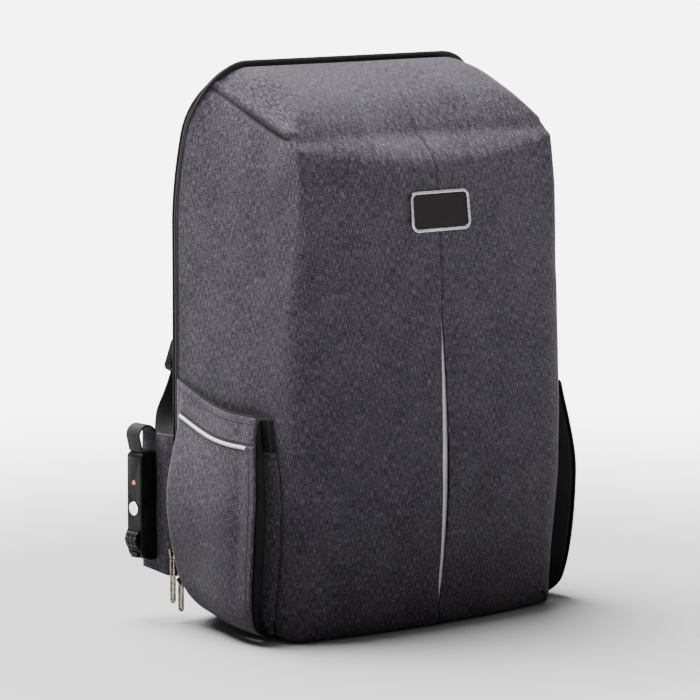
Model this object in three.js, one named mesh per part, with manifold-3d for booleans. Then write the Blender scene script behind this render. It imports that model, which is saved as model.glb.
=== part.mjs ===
// An anti-theft backpack, standing on its base, zipped shut.
// Millimetres, +Z up, +X to the right of the front, +Y towards the wearer's back.
// The origin is the middle of the flat base, on the floor.

import * as THREE from "three";
import { mergeVertices } from "three/addons/utils/BufferGeometryUtils.js";
import Module from "manifold-3d";

const wasm = await Module();
wasm.setup();

// Bag shell
const SHELL_TOP = 445; // floor to the top of the back edge
const CROWN_HEIGHT = 392; // floor to the crease between roof and front
const BACK_HALF_WIDTH = 149.5;
const FRONT_HALF_WIDTH = 142;
const SIDE_BULGE = 2.5;
const CROWN_NARROWING = 8; // how much narrower the crown is than the front, each side
const NARROWING_START = 220; // the height where the sides start to lean in
const FRONT_Y = -80; // the foremost point of the front
const RIM_Y = 74; // the back edge of the cloth
const RIM_LEAN = 30; // how far the back edge leans forward at its top
const RIM_LEAN_START = 322; // the height where that starts
const SHELL_WALL = 5; // cloth, foam and lining together
const FRONT_LEAN = 20; // how far the crown's crease lies behind the foremost point
const BASE_BOW = 15; // how far the front falls back from its middle to its sides, at the base
const CROWN_BOW = 3; // and at the crown
const EDGE_INSET = 30; // rounding of the front's upright edges, seen from the front
const EDGE_DEPTH = 24; // the same rounding, seen from the side
const CROWN_CORNER_ROUND = 5;
const CROWN_EDGE_ROUND = 9;
const CROWN_MIDDLE_ROUND = 22; // the crease is softer in its middle
const BASE_FRONT_ROUND = 10;
const BASE_CORNER_BACK = 58;
const BASE_CORNER_FRONT = 15;
const BASE_RISE = 8; // how far the base lifts at the back
const BASE_RISE_LENGTH = 30;
const SHOULDER_WIDTH = 51; // largest rounding of the roof's sides, seen from the front
const SHOULDER_HEIGHT = 94;

// The front's profile up its middle: height as a share of the crown's, setback as a share of the lean
const FRONT_PROFILE = [
  { at: 0.0, setback: 0.45 },
  { at: 0.05, setback: 0.36 },
  { at: 0.11, setback: 0.22 },
  { at: 0.19, setback: 0.08 },
  { at: 0.3, setback: 0.0 },
  { at: 0.46, setback: 0.05 },
  { at: 0.64, setback: 0.25 },
  { at: 0.85, setback: 0.52 },
  { at: 0.95, setback: 0.8 },
  { at: 1.0, setback: 1.0 },
];

// The roof from the back edge to the crease: how far it has dropped, as a share of the whole drop,
// and the rounding of its sides as shares of the two sizes above
const ROOF = [
  { at: 0.0, drop: 0.0, width: 0.92, height: 0.56 },
  { at: 0.1, drop: 0.0, width: 0.98, height: 0.8 },
  { at: 0.35, drop: 0.08, width: 0.94, height: 1.0 },
  { at: 0.6, drop: 0.28, width: 0.8, height: 0.93 },
  { at: 0.78, drop: 0.5, width: 0.58, height: 0.72 },
  { at: 0.92, drop: 0.78, width: 0.28, height: 0.34 },
  { at: 1.0, drop: 1.0, width: 0.14, height: 0.1 },
];

// Slit in the front seam, with a reflective strip behind it
const SLIT_LOW = 13;
const SLIT_HIGH = 257;
const SLIT_HALF_WIDTH = 3.6;
const SLIT_DEPTH = 2;
const STRIP_THICKNESS = 0.9;
const STRIP_MARGIN = 4;
const STRIP_TAPER = 10;

// Zip band and back panel
const BAND_DEPTH = 3.2;
const BAND_WALL = 5;
const BAND_RISE = 2.5; // how far the band stands above the cloth at the top
const PANEL_DEPTH = 11;
const PANEL_INSET = 3.5;
const PANEL_EDGE = 4;

// Shoulder straps, their buckles and webbing, and the haul handle
const STRAP_TOP_WIDTH = 56;
const STRAP_END_WIDTH = 37;
const STRAP_THICKNESS = 11;
const STRAP_TOP_X = 44;
const STRAP_END_X = 109;
const STRAP_TOP_Z = 402;
const STRAP_END_Z = 218;
const STRAP_STANDOFF = 24; // clear gap between strap and panel at its widest
const STRAP_LEAN = 16; // how much further from the panel the strap ends than it starts
const BUCKLE_WIDTH = 33;
const BUCKLE_HEIGHT = 27;
const BUCKLE_DEPTH = 8;
const BUCKLE_BAR = 6.4;
const WEBBING_WIDTH = 22;
const WEBBING_THICKNESS = 2;
const WEBBING_IN = 7; // how far its edge lies in from the wing's rear edge
const WEBBING_SEAM = 60; // how far the webbing is sewn down on the wing
const HANDLE_WIDTH = 20;
const HANDLE_THICKNESS = 3;
const HANDLE_SPAN = 112;
const HANDLE_DROP = 21; // from the top of the shell to the handle's middle
const HANDLE_Z = SHELL_TOP - HANDLE_DROP;
const HANDLE_BOW = 24;

// Wings at the lower back corners, where the webbing is sewn on
const WING_TOP = 151;
const WING_BOTTOM = 36;
const WING_SLOPE = 4; // the lower edge rises this much to the rear
const WING_REACH = 39;
const WING_THICKNESS = 2.6;

// Side pockets
const POCKET_TOP_REAR = 197;
const POCKET_TOP_FRONT = 179;
const POCKET_TOP_DIP = 6;
const POCKET_BAND_HEIGHT = 21;
const POCKET_BOTTOM = 5;
const POCKET_REAR_RISE = 14;
const POCKET_WALL = 2.2;
const POCKET_BULGE = 27;
const POCKET_REAR_BULGE = 21;
const STRIP_HEIGHT = 4.2;
const GUSSET_THICKNESS = 1.6;
const GUSSET_FOLD = 13; // how far back the gusset folds
const ELASTIC_PULL = 9; // how far the elastic draws the pocket's front edge back at the top
const ELASTIC_PULL_START = 0.6; // share of the pocket's height where that starts
const SEAM_AHEAD = 1; // how far its seam lies in front of the flat of the bag's side
const ELASTIC_HEIGHT = 26;

// How far the pocket stands off, by height as a share of its top; the bulges as shares of the two above
const POCKET_SWELL = [
  { at: 0.0, front: 0.05, rear: 0.06 },
  { at: 0.05, front: 0.6, rear: 0.16 },
  { at: 0.12, front: 0.84, rear: 0.3 },
  { at: 0.25, front: 0.96, rear: 0.6 },
  { at: 0.42, front: 1.0, rear: 0.92 },
  { at: 0.62, front: 0.98, rear: 1.0 },
  { at: 0.85, front: 0.8, rear: 0.4 },
  { at: 1.0, front: 0.6, rear: 0.08 },
];

// Plaque on the front
const PLAQUE_WIDTH = 61;
const PLAQUE_HEIGHT = 32;
const PLAQUE_CORNER = 6.5;
const PLAQUE_RIM = 2.2;
const PLAQUE_THICKNESS = 2.6;
const PLAQUE_Z = 333;

// Combination lock on the left wing
const LOCK_HEIGHT = 88;
const LOCK_WIDTH = 19;
const LOCK_THICKNESS = 17;
const LOCK_BOTTOM = 48;
const LOCK_CORNER = 5;
const LOCK_FOOT = 9; // how far the lock's foot slopes back
const DIAL_RADIUS = 8.6;
const DIAL_WIDTH = 4;
const DIAL_PITCH = 4.9;
const DIAL_COUNT = 3;
const DIAL_HEIGHT = 17; // above the lock's lower end
const DIAL_PROUD = 4.6; // beyond the lock's face
const DIAL_HUMP = 3.6; // the housing's swelling round the dials
const AXLE_RADIUS = 1.5;
const KEY_RADIUS = 5.6;
const KEY_HEIGHT = 42;
const KEY_SLOT = 1.3;
const DOT_RADIUS = 1.9;
const DOT_HEIGHT = 63;
const RELEASE_WIDTH = 8;
const RELEASE_LENGTH = 4.4;
const RELEASE_TRAVEL = 2.4;
const RELEASE_HEIGHT = 4.4;
const RELEASE_DEPTH = 2.4;
const LOOP_WIDTH = 17;
const LOOP_THICKNESS = 2;
const LOOP_BULGE = 3; // how far it stands out beyond its seat on the lock
const LOOP_SEAM = 6; // how far the loop is sewn down on the wing

// Zip sliders and their pulls
const SLIDER_LENGTH = 11;
const SLIDER_WIDTH = 6;
const SLIDER_DEPTH = 4;
const PULL_WIRE = 1.7;
const PULL_WIDTH = 6.4;
const LONG_PULL = 42;
const SHORT_PULL = 26;
const LONG_PULL_HEIGHT = 53;
const SHORT_PULL_HEIGHT = 32;
const PULLS = [
  { name: "1", height: LONG_PULL_HEIGHT, length: LONG_PULL },
  { name: "2", height: SHORT_PULL_HEIGHT, length: SHORT_PULL },
];

const GAP = 0.3; // between pieces that touch
const RUNNING = 0.4; // round pieces that move

// How finely the curves are cut
const BOTTOM_STEPS = 5;
const SIDE_STEPS = 9;
const CORNER_STEPS = 6;
const RING_SHARES = [0, 0.08, 0.2, 0.36, 0.54, 0.72, 0.88, 1];
const ROUND_STEPS = 3;
const FACE_SHARES = [0.88, 0.68, 0.45, 0.2];

const mix = (a, b, t) => a + (b - a) * t;
const clamp01 = (t) => Math.min(1, Math.max(0, t));
const smooth = (t) => clamp01(t) ** 2 * (3 - 2 * clamp01(t));

// A value read off a table of rows, eased between them.
function read(rows, at, column) {
  const last = rows.length - 1;
  if (at <= rows[0].at) return rows[0][column];
  if (at >= rows[last].at) return rows[last][column];
  const i = rows.findIndex((row) => row.at > at) - 1;
  const span = rows[i + 1].at - rows[i].at;
  const t = (at - rows[i].at) / span;
  const slope = (k) => {
    const a = rows[Math.max(0, k - 1)];
    const b = rows[Math.min(last, k + 1)];
    return (b[column] - a[column]) / (b.at - a.at);
  };
  return (
    rows[i][column] * (2 * t ** 3 - 3 * t ** 2 + 1) +
    slope(i) * span * (t ** 3 - 2 * t ** 2 + t) +
    rows[i + 1][column] * (3 * t ** 2 - 2 * t ** 3) +
    slope(i + 1) * span * (t ** 3 - t ** 2)
  );
}

// A closed geometry from triangles of points.
function fromTriangles(points, faces) {
  const geometry = new THREE.BufferGeometry();
  const flat = points.flatMap((p) => [p.x, p.y, p.z]);
  geometry.setAttribute("position", new THREE.Float32BufferAttribute(flat, 3));
  geometry.setIndex(faces.flat());
  return geometry;
}

// Skin through closed rings with equal counts of points; both ends are closed by a fan.
function skin(rings) {
  const count = rings[0].length;
  const points = rings.flat();
  const faces = [];
  for (let r = 0; r + 1 < rings.length; r++)
    for (let i = 0; i < count; i++) {
      const a = r * count + i;
      const b = r * count + ((i + 1) % count);
      faces.push([a, b, b + count], [a, b + count, a + count]);
    }
  for (const [r, turned] of [[0, true], [rings.length - 1, false]]) {
    const middle = new THREE.Vector3();
    rings[r].forEach((p) => middle.addScaledVector(p, 1 / count));
    points.push(middle);
    for (let i = 0; i < count; i++) {
      const a = r * count + i;
      const b = r * count + ((i + 1) % count);
      faces.push(turned ? [b, a, points.length - 1] : [a, b, points.length - 1]);
    }
  }
  return outward(fromTriangles(points, faces));
}

// The same geometry with its faces turned outwards.
function outward(geometry) {
  const p = geometry.getAttribute("position");
  const index = geometry.index.array;
  const at = (i) => new THREE.Vector3().fromBufferAttribute(p, index[i]);
  let volume = 0;
  for (let i = 0; i < index.length; i += 3) volume += at(i).dot(at(i + 1).cross(at(i + 2)));
  if (volume < 0)
    for (let i = 0; i < index.length; i += 3) [index[i], index[i + 1]] = [index[i + 1], index[i]];
  return geometry;
}

// A wall between two grids of points, each a list of rows.
function slab(one, other) {
  const rows = one.length;
  const columns = one[0].length;
  const far = rows * columns;
  const faces = [];
  const quad = (a, b, c, d) => faces.push([a, b, c], [a, c, d]);
  const edge = (a, b) => quad(b, a, far + a, far + b);
  for (let r = 0; r + 1 < rows; r++) {
    for (let c = 0; c + 1 < columns; c++) {
      const a = r * columns + c;
      quad(a, a + 1, a + columns + 1, a + columns);
      quad(far + a, far + a + columns, far + a + columns + 1, far + a + 1);
    }
    edge((r + 1) * columns, r * columns);
    edge(r * columns + columns - 1, (r + 1) * columns + columns - 1);
  }
  for (let c = 0; c + 1 < columns; c++) {
    edge(c, c + 1);
    edge(far - columns + c + 1, far - columns + c);
  }
  return outward(fromTriangles([...one.flat(), ...other.flat()], faces));
}

// A solid that manifold-3d can join and cut.
function solid(geometry) {
  const bare = new THREE.BufferGeometry();
  const source = geometry.index ? geometry.toNonIndexed() : geometry;
  bare.setAttribute("position", source.getAttribute("position"));
  const merged = mergeVertices(bare, 1e-4);
  return new wasm.Manifold(
    new wasm.Mesh({
      numProp: 3,
      vertProperties: merged.getAttribute("position").array,
      triVerts: new Uint32Array(merged.index.array),
    }),
  );
}

// A geometry back from such a solid.
function geometryOf(made) {
  const mesh = made.getMesh();
  const geometry = new THREE.BufferGeometry();
  geometry.setAttribute("position", new THREE.BufferAttribute(mesh.vertProperties, 3));
  geometry.setIndex(new THREE.BufferAttribute(mesh.triVerts, 1));
  return geometry;
}

const box = (x0, x1, y0, y1, z0, z1) =>
  new THREE.BoxGeometry(x1 - x0, y1 - y0, z1 - z0).translate(
    (x0 + x1) / 2,
    (y0 + y1) / 2,
    (z0 + z1) / 2,
  );

// A round bar along X or Y.
function bar(radius, length, axis, sides) {
  const made = new THREE.CylinderGeometry(radius, radius, length, sides);
  return axis === "x" ? made.rotateZ(Math.PI / 2) : made;
}

function roundedRectangle(width, height, radius) {
  const shape = new THREE.Shape();
  const x = width / 2;
  const y = height / 2;
  shape.moveTo(-x + radius, -y);
  shape.lineTo(x - radius, -y);
  shape.absarc(x - radius, -y + radius, radius, -Math.PI / 2, 0, false);
  shape.lineTo(x, y - radius);
  shape.absarc(x - radius, y - radius, radius, 0, Math.PI / 2, false);
  shape.lineTo(-x + radius, y);
  shape.absarc(-x + radius, y - radius, radius, Math.PI / 2, Math.PI, false);
  shape.lineTo(-x, -y + radius);
  shape.absarc(-x + radius, -y + radius, radius, Math.PI, 1.5 * Math.PI, false);
  return shape;
}

const extrude = (shape, depth, curveSegments = 5) =>
  new THREE.ExtrudeGeometry(shape, { depth, bevelEnabled: false, curveSegments });

// The same solid on the right side of the bag.
function mirrored(geometry) {
  const made = geometry.clone();
  made.applyMatrix4(new THREE.Matrix4().makeScale(-1, 1, 1));
  return outward(made.index ? made : mergeVertices(made, 1e-4));
}

// The shell's shape

// The front surface: how far back it lies at a place seen from the front.
function frontY(x, z) {
  const up = z / CROWN_HEIGHT;
  const lean = FRONT_LEAN * read(FRONT_PROFILE, up, "setback");
  return FRONT_Y + lean + mix(BASE_BOW, CROWN_BOW, clamp01(up)) * (x / FRONT_HALF_WIDTH) ** 2;
}

// 0 below the height where the sides start to lean in, 1 at the crown and above
const nearCrown = (z) => smooth((z - NARROWING_START) / (CROWN_HEIGHT - NARROWING_START));

// How far the back edge leans forward at a height.
const rimLean = (z) => RIM_LEAN * clamp01((z - RIM_LEAN_START) / (SHELL_TOP - RIM_LEAN_START)) ** 1.7;

// Rounding of the upright edges at a height, seen from the front and from the side.
const edgeInset = (z) => mix(EDGE_INSET, CROWN_CORNER_ROUND, nearCrown(z));
const edgeDepth = (z) => mix(EDGE_DEPTH, CROWN_CORNER_ROUND, nearCrown(z));

// Sizes of the cross section at a share of the way from the back edge to the front.
function section(share, inset) {
  const back = 1 - share;
  const width = mix(BACK_HALF_WIDTH, FRONT_HALF_WIDTH, share) + SIDE_BULGE * Math.sin(Math.PI * share);
  const riseShare = BASE_RISE_LENGTH / (RIM_Y - FRONT_Y);
  const rise = BASE_RISE * smooth(1 - share / riseShare);
  const corner = mix(BASE_CORNER_FRONT, BASE_CORNER_BACK, back);
  return {
    width: width - inset,
    top: mix(SHELL_TOP, CROWN_HEIGHT, read(ROOF, share, "drop")) - inset,
    bottom: rise + inset,
    shoulderWidth: Math.max(2, SHOULDER_WIDTH * read(ROOF, share, "width") - inset),
    shoulderHeight: Math.max(2, SHOULDER_HEIGHT * read(ROOF, share, "height") - inset),
    corner: Math.max(2, corner - inset),
    lean: CROWN_NARROWING * share,
  };
}

// The right half of a cross section from the middle of the base to the middle of the top: each point's
// place, and the direction that it faces, with 0 to the side and a right angle upwards.
function halfOutline(s) {
  const points = [];
  const put = (x, z, facing) => {
    const lean = s.lean * nearCrown(z);
    points.push({ x: (x * (s.width - lean)) / s.width, z, facing });
  };
  const quarter = Math.PI / 2;
  for (let i = 0; i < BOTTOM_STEPS; i++) {
    put(((s.width - s.corner) * i) / BOTTOM_STEPS, s.bottom, -quarter);
  }
  for (let i = 0; i < CORNER_STEPS; i++) {
    const a = -quarter + (quarter * i) / CORNER_STEPS;
    put(s.width - s.corner * (1 - Math.cos(a)), s.bottom + s.corner * (1 + Math.sin(a)), a);
  }
  const low = s.bottom + s.corner;
  const high = s.top - s.shoulderHeight;
  for (let i = 0; i < SIDE_STEPS; i++) put(s.width, mix(low, high, i / SIDE_STEPS), 0);
  for (let i = 0; i < CORNER_STEPS; i++) {
    const a = (quarter * i) / CORNER_STEPS;
    const x = s.width - s.shoulderWidth * (1 - Math.cos(a));
    put(x, high + s.shoulderHeight * Math.sin(a), a);
  }
  for (let i = 0; i <= BOTTOM_STEPS; i++) {
    put((s.width - s.shoulderWidth) * (1 - i / BOTTOM_STEPS), s.top, quarter);
  }
  return points;
}

// The whole cross section, with the left half as the right one's mirror image.
function outline(s) {
  const half = halfOutline(s);
  const left = half.slice(1, -1).reverse();
  return [
    ...half.map((p) => ({ ...p, side: 1 })),
    ...left.map((p) => ({ ...p, x: -p.x, side: -1 })),
  ];
}

// Where the front's rounding ends for a point of the front cross section, and how deep it is.
function rounding(p, inset) {
  const sideways = Math.cos(p.facing) ** 2;
  const middle = clamp01(1 - (p.x / FRONT_HALF_WIDTH) ** 2);
  const crown = mix(CROWN_EDGE_ROUND, CROWN_MIDDLE_ROUND, middle);
  const upright = p.facing > 0 ? crown : BASE_FRONT_ROUND;
  const x = p.x - p.side * edgeInset(p.z) * Math.cos(p.facing);
  const z = p.z - upright * Math.sin(p.facing);
  const depth = Math.max(1, mix(upright * 0.8, edgeDepth(p.z), sideways) - inset * 0.5);
  return { x, z, depth };
}

// Rings of the shell from the back edge to the middle of the front, set in by a wall.
function shellRings(inset) {
  const front = outline(section(1, inset)).map((p) => ({ ...p, ...{ end: rounding(p, inset) } }));
  const startY = (p) => frontY(p.end.x, p.end.z) + inset + p.end.depth;
  const rimY = outline(section(0, inset)).map((p) => RIM_Y - rimLean(p.z));
  const rings = RING_SHARES.map((share) =>
    outline(section(share, inset)).map(
      (p, i) => new THREE.Vector3(p.x, mix(rimY[i], startY(front[i]), share), p.z),
    ),
  );
  for (let k = 1; k <= ROUND_STEPS; k++) {
    const a = (Math.PI / 2) * (k / ROUND_STEPS);
    rings.push(
      front.map((p) => {
        const across = 1 - Math.cos(a);
        const y = startY(p) - p.end.depth * Math.sin(a);
        return new THREE.Vector3(mix(p.x, p.end.x, across), y, mix(p.z, p.end.z, across));
      }),
    );
  }
  const middle = CROWN_HEIGHT / 2;
  for (const share of FACE_SHARES) {
    rings.push(
      front.map((p) => {
        const x = p.end.x * share;
        const z = mix(middle, p.end.z, share);
        return new THREE.Vector3(x, frontY(x, z) + inset, z);
      }),
    );
  }
  return rings;
}

// Half the slit's width at a height.
function slitHalfWidth(z) {
  const t = clamp01((z - SLIT_LOW) / (SLIT_HIGH - SLIT_LOW));
  return SLIT_HALF_WIDTH * Math.sin(Math.PI * t ** 0.9) ** 0.8;
}

// A lens-shaped block that follows the front: its faces lie at two depths behind the front surface.
function lens(near, far, narrower) {
  const steps = 18;
  const margin = STRIP_MARGIN + STRIP_TAPER * narrower;
  const rings = [];
  for (let i = 0; i <= steps; i++) {
    const z = mix(SLIT_LOW + margin, SLIT_HIGH - margin, i / steps);
    const w = Math.max(0.4, slitHalfWidth(z) - narrower);
    const y = frontY(0, z);
    rings.push([
      new THREE.Vector3(-w, y + near, z),
      new THREE.Vector3(w, y + near, z),
      new THREE.Vector3(w, y + far, z),
      new THREE.Vector3(-w, y + far, z),
    ]);
  }
  return skin(rings);
}

function shell() {
  const outer = shellRings(0);
  const inner = shellRings(SHELL_WALL).reverse();
  const walls = solid(skin([...inner, ...outer]));
  return geometryOf(walls.subtract(solid(lens(-4, SLIT_DEPTH, 0))));
}

function frontStrip() {
  return lens(SLIT_DEPTH - GAP - STRIP_THICKNESS, SLIT_DEPTH - GAP, GAP);
}

// The back edge's outline at a depth, set in by a wall and raised at the top.
function backRing(y, inset, rise) {
  const s = section(0, 0);
  const raise = (p) => rise * clamp01(Math.sin(p.facing));
  return outline(s).map((p) => {
    const reach = Math.max(1, p.side * p.x - inset * Math.cos(p.facing));
    const x = Math.cos(p.facing) < 1e-6 ? p.x * (1 - inset / s.width) : p.side * reach;
    const z = p.z - inset * Math.sin(p.facing) + raise(p);
    return new THREE.Vector3(x, y - rimLean(z), z);
  });
}

function zipBand() {
  const y0 = RIM_Y + GAP;
  const y1 = y0 + BAND_DEPTH;
  const rings = [
    backRing(y0, BAND_WALL, BAND_RISE),
    backRing(y0, 0.2, BAND_RISE),
    backRing(y1, 0.2, BAND_RISE),
    backRing(y1, BAND_WALL, BAND_RISE),
  ];
  return closedLoop(rings);
}

// A hoop whose section is made of several rings of equal counts of points.
function closedLoop(rings) {
  const count = rings[0].length;
  const faces = [];
  rings.forEach((_, r) => {
    const next = (r + 1) % rings.length;
    for (let i = 0; i < count; i++) {
      const j = (i + 1) % count;
      faces.push([r * count + i, r * count + j, next * count + j]);
      faces.push([r * count + i, next * count + j, next * count + i]);
    }
  });
  return outward(fromTriangles(rings.flat(), faces));
}

const PANEL_FRONT = RIM_Y + GAP + BAND_DEPTH + GAP;
const PANEL_BACK = PANEL_FRONT + PANEL_DEPTH;

function backPanel() {
  const frontShares = [0.85, 0.4]; // shares of the way out from the middle
  const backShares = [0.93, 0.82, 0.65, 0.35];
  const shrink = (ring, share, z0) =>
    ring.map((p) => {
      const z = mix(z0, p.z, share);
      return new THREE.Vector3(p.x * share, p.y + rimLean(p.z) - rimLean(z), z);
    });
  const middle = SHELL_TOP / 2;
  const face = backRing(PANEL_BACK, PANEL_INSET + PANEL_EDGE, 0);
  const front = backRing(PANEL_FRONT, PANEL_INSET, 0);
  return skin([
    ...frontShares.map((share) => shrink(front, share, middle)).reverse(),
    front,
    backRing(PANEL_BACK - PANEL_EDGE, PANEL_INSET, 0),
    face,
    ...backShares.map((share) => shrink(face, share, middle)),
  ]);
}

// Straps, webbing and wings

// Inner face of the left wing, where the webbing is sewn on.
const WING_OUTER_X = BACK_HALF_WIDTH + 2;
const WING_INNER_X = WING_OUTER_X - WING_THICKNESS;
const WING_ROOT_Y = PANEL_FRONT + GAP;
const WING_END_Y = WING_ROOT_Y + WING_REACH;

// A flat band through stations: each has a middle, a width direction, a face direction and sizes.
function band(stations) {
  return skin(
    stations.map((s) => {
      const across = s.across.clone().normalize().multiplyScalar(s.width / 2);
      const through = s.facing.clone().normalize().multiplyScalar(s.thickness / 2);
      const corner = (a, b) => s.at.clone().addScaledVector(across, a).addScaledVector(through, b);
      return [corner(-1, -1), corner(1, -1), corner(1, 1), corner(-1, 1)];
    }),
  );
}

// The left shoulder strap's middle line: down the back and out to the side, standing off the panel.
function strapAt(t) {
  const z = mix(STRAP_TOP_Z, STRAP_END_Z, t);
  const seat = PANEL_BACK - rimLean(z) + GAP + STRAP_THICKNESS / 2;
  const away = STRAP_STANDOFF * Math.sin(Math.PI * t ** 0.8) ** 1.3;
  const across = mix(STRAP_TOP_X, STRAP_END_X, t ** 2.2);
  return new THREE.Vector3(-across, seat + away + STRAP_LEAN * t, z);
}

// The strap's directions at a share of its length: along it, across it and through it.
function strapFrame(t) {
  const after = t === 1 ? sewnAt() : strapAt(Math.min(1, t + 0.02));
  const before = t === 1 ? strapAt(1) : strapAt(Math.max(0, t - 0.02));
  const along = after.sub(before).normalize();
  const across = new THREE.Vector3(0, 1, 0).cross(along).normalize();
  return { along, across, through: along.clone().cross(across) };
}

// Where the webbing reaches the wing.
const WEBBING_X = WING_INNER_X - 2 * GAP - WEBBING_THICKNESS / 2;
const WEBBING_Y = WING_END_Y - WEBBING_WIDTH / 2 - WEBBING_IN;
const sewnAt = () => new THREE.Vector3(-WEBBING_X, WEBBING_Y, WING_TOP - 8);

function shoulderStrap() {
  const steps = 12;
  const stations = [];
  for (let i = 0; i <= steps; i++) {
    const t = i / steps;
    const { across, through } = strapFrame(t);
    stations.push({
      at: strapAt(t),
      across,
      facing: through,
      width: mix(STRAP_TOP_WIDTH, STRAP_END_WIDTH, t ** 0.8),
      thickness: STRAP_THICKNESS,
    });
  }
  return band(stations);
}

// A place below the strap's end, measured along the strap's own line.
const belowStrap = (distance) => strapAt(1).addScaledVector(strapFrame(1).along, distance);

function ladderBuckle() {
  const frame = extrude(roundedRectangle(BUCKLE_WIDTH, BUCKLE_HEIGHT, 4), BUCKLE_DEPTH, 3);
  const slotHeight = (BUCKLE_HEIGHT - 3 * BUCKLE_BAR) / 2;
  const slotAt = (slotHeight + BUCKLE_BAR) / 2;
  let made = solid(frame.translate(0, 0, -BUCKLE_DEPTH / 2));
  for (const z of [-slotAt, slotAt]) {
    const slot = new THREE.BoxGeometry(WEBBING_WIDTH + 2, slotHeight, 3 * BUCKLE_DEPTH);
    made = made.subtract(solid(slot.translate(0, z, 0)));
  }
  const { along, across, through } = strapFrame(1);
  const turn = new THREE.Matrix4().makeBasis(across.negate(), along.negate(), through.negate());
  turn.setPosition(belowStrap(GAP + BUCKLE_HEIGHT / 2));
  return outward(geometryOf(made).applyMatrix4(turn));
}

// The webbing comes down from the buckle's lower bar and turns to lie flat on the wing.
function strapWebbing() {
  const start = belowStrap(BUCKLE_HEIGHT + 2 * GAP);
  const end = sewnAt();
  const steps = 8;
  const stations = [];
  const first = strapFrame(1);
  const flat = new THREE.Vector3(0, 1, 0);
  const put = (at, turned, down) => {
    const across = first.across.clone().lerp(flat, turned).normalize();
    stations.push({
      at,
      across,
      facing: across.clone().cross(down),
      width: WEBBING_WIDTH,
      thickness: WEBBING_THICKNESS,
    });
  };
  for (let i = 0; i <= steps; i++) {
    const t = i / steps;
    put(start.clone().lerp(end, t), smooth(t ** 1.4), first.along);
  }
  put(end.clone().setZ(WING_TOP - WEBBING_SEAM), 1, new THREE.Vector3(0, 0, -1));
  return band(stations);
}

function haulHandle() {
  const steps = 12;
  const half = HANDLE_WIDTH / 2;
  const slope = (rimLean(HANDLE_Z + half) - rimLean(HANDLE_Z - half)) / HANDLE_WIDTH;
  const across = new THREE.Vector3(0, -slope, 1).normalize();
  const facing = new THREE.Vector3(0, 1, slope).normalize();
  const seat = new THREE.Vector3(0, PANEL_BACK - rimLean(HANDLE_Z), HANDLE_Z);
  const ends = 0.13; // share of the span that lies flat at each end
  const ramp = 0.22; // share over which it rises
  const stations = [];
  for (let i = 0; i <= steps; i++) {
    const t = i / steps;
    const bow = HANDLE_BOW * smooth((t - ends) / ramp) * smooth((1 - ends - t) / ramp);
    const away = 3 * GAP + HANDLE_THICKNESS / 2 + bow;
    const at = seat.clone().addScaledVector(facing, away);
    at.x = mix(-HANDLE_SPAN / 2, HANDLE_SPAN / 2, t);
    stations.push({ at, across, facing, width: HANDLE_WIDTH, thickness: HANDLE_THICKNESS });
  }
  return band(stations);
}

// A flap that starts at the bag's back edge and runs straight to the rear.
function wing() {
  const rows = 7;
  const grid = (inwards) => {
    const made = [];
    for (let i = 0; i <= rows; i++) {
      made.push(
        [0, 0.2, 0.4, 0.6, 0.8, 1].map((t) => {
          const z = mix(WING_BOTTOM + WING_SLOPE * t, WING_TOP, i / rows);
          const root = Math.min(WING_OUTER_X, sideX(RIM_Y, z));
          const x = mix(root, WING_OUTER_X, smooth(t / 0.2));
          return new THREE.Vector3(-(x - inwards), mix(WING_ROOT_Y, WING_END_Y, t), z);
        }),
      );
    }
    return made;
  };
  return slab(grid(0), grid(WING_THICKNESS));
}

// A geometry with nothing but its positions.
function bare(geometry) {
  const made = new THREE.BufferGeometry();
  made.setAttribute("position", geometry.getAttribute("position"));
  return made;
}

// Side pockets

// Half width of the shell's outer face at a place on its side: it narrows round the base corner and
// round the front's upright edge.
function sideX(y, z) {
  const start = sideStartY(z);
  const s = section(clamp01((RIM_Y - y) / (RIM_Y - start)), 0);
  const width = s.width - s.lean * nearCrown(z);
  const low = clamp01((s.bottom + s.corner - z) / s.corner);
  const ahead = clamp01((start - y) / edgeDepth(z));
  return width - s.corner * (1 - Math.sqrt(1 - low ** 2)) - edgeInset(z) * (1 - Math.sqrt(1 - ahead ** 2));
}

// Where the side meets the rounding of the front's upright edge.
function sideStartY(z) {
  return frontY(FRONT_HALF_WIDTH - edgeInset(z), z) + edgeDepth(z);
}

const POCKET_REAR_Y = RIM_Y - 3;
// How far the elastic draws the front of the pocket back at a height.
const drawnBack = (z) =>
  ELASTIC_PULL * smooth((z / POCKET_TOP_FRONT - ELASTIC_PULL_START) / (1 - ELASTIC_PULL_START));
const pocketFrontY = (z) => sideStartY(z) + drawnBack(z);

// Shares of the way along a pocket, from its rear seam to its front edge.
const POCKET_ALONG = [0, 0.03, 0.1, 0.22, 0.38, 0.54, 0.7, 0.84, 0.93, 1];
const POCKET_UP = [0, 0.02, 0.06, 0.14, 0.26, 0.4, 0.56, 0.72, 0.87, 1];

const pocketTop = (along) =>
  mix(POCKET_TOP_REAR, POCKET_TOP_FRONT, along) - POCKET_TOP_DIP * Math.sin(Math.PI * along);
const pocketBottom = (along) => POCKET_BOTTOM + POCKET_REAR_RISE * (1 - along) ** 2;

// How far the pocket's inner face stands off the shell.
function standOff(along, z) {
  const height = z / pocketTop(along);
  const rear = POCKET_REAR_BULGE * read(POCKET_SWELL, height, "rear");
  const front = POCKET_BULGE * read(POCKET_SWELL, height, "front");
  const open = smooth(along / 0.12);
  return GAP + mix(1, mix(rear, front, smooth(along)), open);
}

// A point of the left pocket, a distance out from the pocket's inner face.
function pocketPoint(along, z, out) {
  const y = mix(POCKET_REAR_Y, pocketFrontY(z), along);
  return new THREE.Vector3(-(sideX(y, z) + standOff(along, z) + out), y, z);
}

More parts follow.
